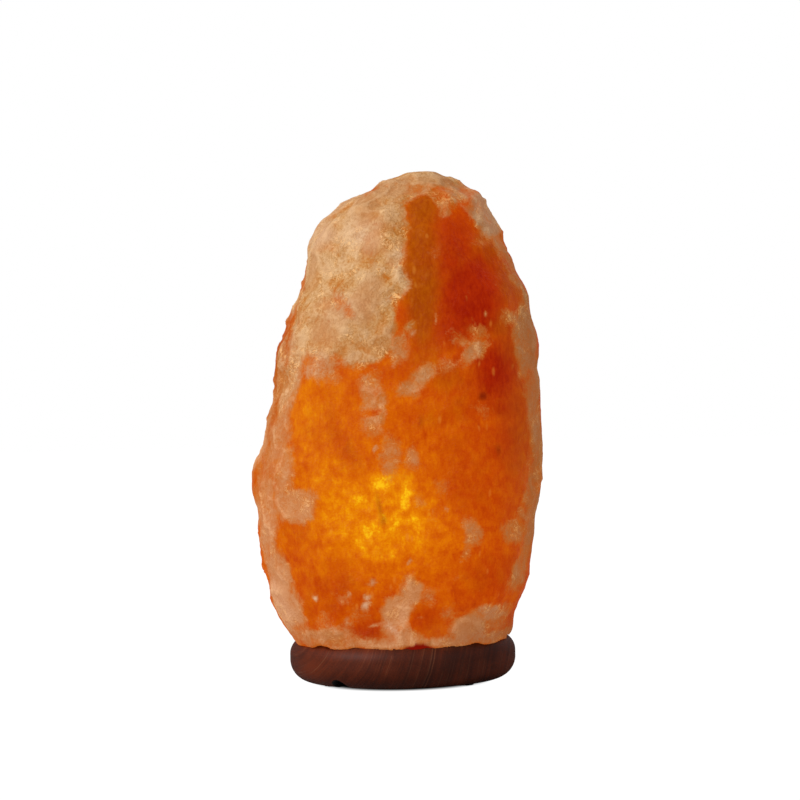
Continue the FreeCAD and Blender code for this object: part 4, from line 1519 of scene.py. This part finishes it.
cement_finish, mortar, place = new_finish("cement")
grains = mortar.node("ShaderNodeSeparateColor", {"Color": place.cells(1500.0, "Color")})
paste = place.noise(700.0, 5.0, 0.7)
coat(
    mortar,
    Base_Color=(grains * 0.5 + paste * 0.5).ramp((0.2, srgb(122, 108, 88)), (0.8, srgb(196, 184, 160))),
    Roughness=0.82 + paste * 0.12,
    Normal=(paste + grains * 0.3).bump(0.6, 0.0002),
)

cement_reach, cement_low, cement_high = reach("basing_cement")
cement = turned(
    "cement_ring",
    [
        (thread_clear - 0.35, cement_low),
        (thread_clear, cement_low),
        (thread_clear, cement_high - 3.6),
        (cement_reach, cement_high - 3.0),
        (cement_reach, cement_high),
        (neck_radius, cement_high - 0.3),
        (neck_radius, cement_high - 3.0),
        (thread_clear - 0.35, cement_high - 3.8),
    ],
    cement_finish,
    sides=72,
    soft=0.08,
)
smooth(cement, 40)
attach(cement, "bulb")
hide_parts("basing_cement")


# ---------------------------------------------------------------- bulb's glass
# A clear round bulb blown in thin glass, its neck sealed to the flare of a glass stem. The stem's flat
# press grips the two lead wires and the thin wire that holds up the filament.
glass_wall, neck_foot_radius = 0.6, 5.7
stem_tube, press_wide, press_thick, press_high = 2.3, 3.5, 1.2, 7.0

glass_finish, clear, place = new_finish("clear_glass")
waves = place.noise(60.0, 2.0, distortion=1.0)
dust = place.noise(1400.0, 4.0, 0.7)
coat(
    clear,
    Base_Color=waves.ramp((0.3, (0.93, 0.96, 0.94)), (0.7, (0.99, 0.99, 0.98))),
    Roughness=0.01 + dust.rise(0.55, 0.8) * 0.08,
    IOR=1.5,
    Transmission_Weight=1.0,
    Normal=waves.bump(0.1, 0.0005),
)

glass_reach, glass_low, glass_high = reach("bulb_glass")
widest = glass_high - glass_reach


def bulb_line(inset, count=30):
    """The bulb's outline from its neck to the top of its dome, moved in by inset."""
    line = [(neck_foot_radius - inset, glass_low), (neck_foot_radius - inset, flare_foot - 3.5)]
    for k in range(count + 1):
        share = k / count
        radius = neck_radius + (glass_reach - neck_radius) * math.sin(math.pi / 2 * share) ** 1.15
        line.append((radius - inset, flare_foot - 2.0 + (widest - flare_foot + 2.0) * share))
    for k in range(1, count + 1):
        bend = math.pi / 2 * k / count
        radius = glass_reach - inset
        line.append((radius * math.cos(bend), widest + radius * math.sin(bend)))
    return line[:-1] + [(0, glass_high - inset)]


bulb = turned("clear_bulb", bulb_line(0.0) + bulb_line(glass_wall)[::-1], glass_finish, rows=1.2)
smooth(bulb, 60)
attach(bulb, "bulb")
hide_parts("bulb_glass")

_, stem_low, stem_high = reach("bulb_stem")
flare_radius = neck_foot_radius - glass_wall - 0.02
stem = turned(
    "glass_stem",
    [(0, stem_low), (flare_radius, stem_low), (flare_radius, stem_low + 0.6)]
    + [
        (stem_tube + (flare_radius - stem_tube) * (1 - k / 8) ** 2, stem_low + 0.6 + 5.5 * k / 8)
        for k in range(1, 9)
    ]
    + [(stem_tube, stem_high), (0, stem_high)],
    glass_finish,
    sides=64,
    soft=0.3,
    rows=0.5,
)
for corner in stem.data.vertices:
    share = max(0.0, min(1.0, (corner.co.z * 1000 - (stem_high - press_high - 2.0)) / 3.0))
    share = share * share * (3 - 2 * share)
    corner.co.x *= 1 + (press_wide / stem_tube - 1) * share
    corner.co.y *= 1 + (press_thick / stem_tube - 1) * share
smooth(stem, 40)
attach(stem, "bulb")
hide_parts("bulb_stem")

wire_finish = metal("lead_wire", srgb(176, 172, 168), srgb(112, 100, 90), 0.3, (1.0, 1.0, 0.1), 2600.0)
for node in ("bulb_lead_wires", "bulb_support_wire"):
    drawn_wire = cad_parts[node]
    drawn_wire.data.materials.clear()
    drawn_wire.data.materials.append(wire_finish)


# ---------------------------------------------------------------- filament
# A tungsten wire as thin as a hair, wound into a long close coil. It hangs in a low arch between the
# lead wires and glows yellow, redder at its ends where the leads cool it.
coil_turns, coil_points = 64, 10
coil_radius, coil_wire, coil_span = 0.00038, 0.00007, 0.015

coil_sizes = ("span", "rise", "level", "coil_radius", "wire_radius")
coil_tree, given = geometry_tree("wound_filament", *coil_sizes, counts=["turns"])
coil = given["Geometry"]
line = coil.node("GeometryNodeCurvePrimitiveLine")
line = coil.node("GeometryNodeResampleCurve", {"Curve": line, "Count": given["turns"] * coil_points})
share = coil.node("GeometryNodeSplineParameter")
angle = share * given["turns"] * (2 * math.pi)
arch = 1.0 - coil.math("ABSOLUTE", share * 2.0 - 1.0)
around = [coil.math(part, angle) * given["coil_radius"] for part in ("COSINE", "SINE")]
height = given["level"] + arch * given["rise"] + around[1]
line = line.moved(Position=coil.point((share - 0.5) * given["span"], around[0], height))
thin = coil.node("GeometryNodeCurvePrimitiveCircle", {"Resolution": 6, "Radius": given["wire_radius"]})
wound = coil.node("GeometryNodeCurveToMesh", {"Curve": line, "Profile Curve": thin, "Fill Caps": True})
mesh_end(given, wound)

tungsten_finish, hot, place = new_finish("glowing_tungsten")
from_middle = hot.math("ABSOLUTE", place.axis("X"))
drawn = place.noise(3000.0, 2.0)
heat = from_middle / (coil_span / 2) + (drawn - 0.5) * 0.15
coat(
    hot,
    Base_Color=srgb(70, 66, 64),
    Metallic=0.8,
    Roughness=0.5 + drawn * 0.2,
    Emission_Color=heat.ramp((0.0, (1.0, 0.66, 0.26)), (0.75, (1.0, 0.50, 0.14)), (1.0, (0.7, 0.12, 0.01))),
    Emission_Strength=6.0,
)

_, filament_low, filament_high = reach("bulb_filament")
filament = add_object("coiled_filament", bpy.data.meshes.new("coiled_filament"), tungsten_finish)
grow(
    filament,
    coil_tree,
    span=coil_span,
    rise=(filament_high - filament_low) / 1000 - 2 * coil_radius - 2 * coil_wire,
    level=filament_low / 1000 + coil_radius + coil_wire,
    coil_radius=coil_radius,
    turns=coil_turns,
    wire_radius=coil_wire,
)
smooth(filament, 80)
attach(filament, "bulb")
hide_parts("bulb_filament")
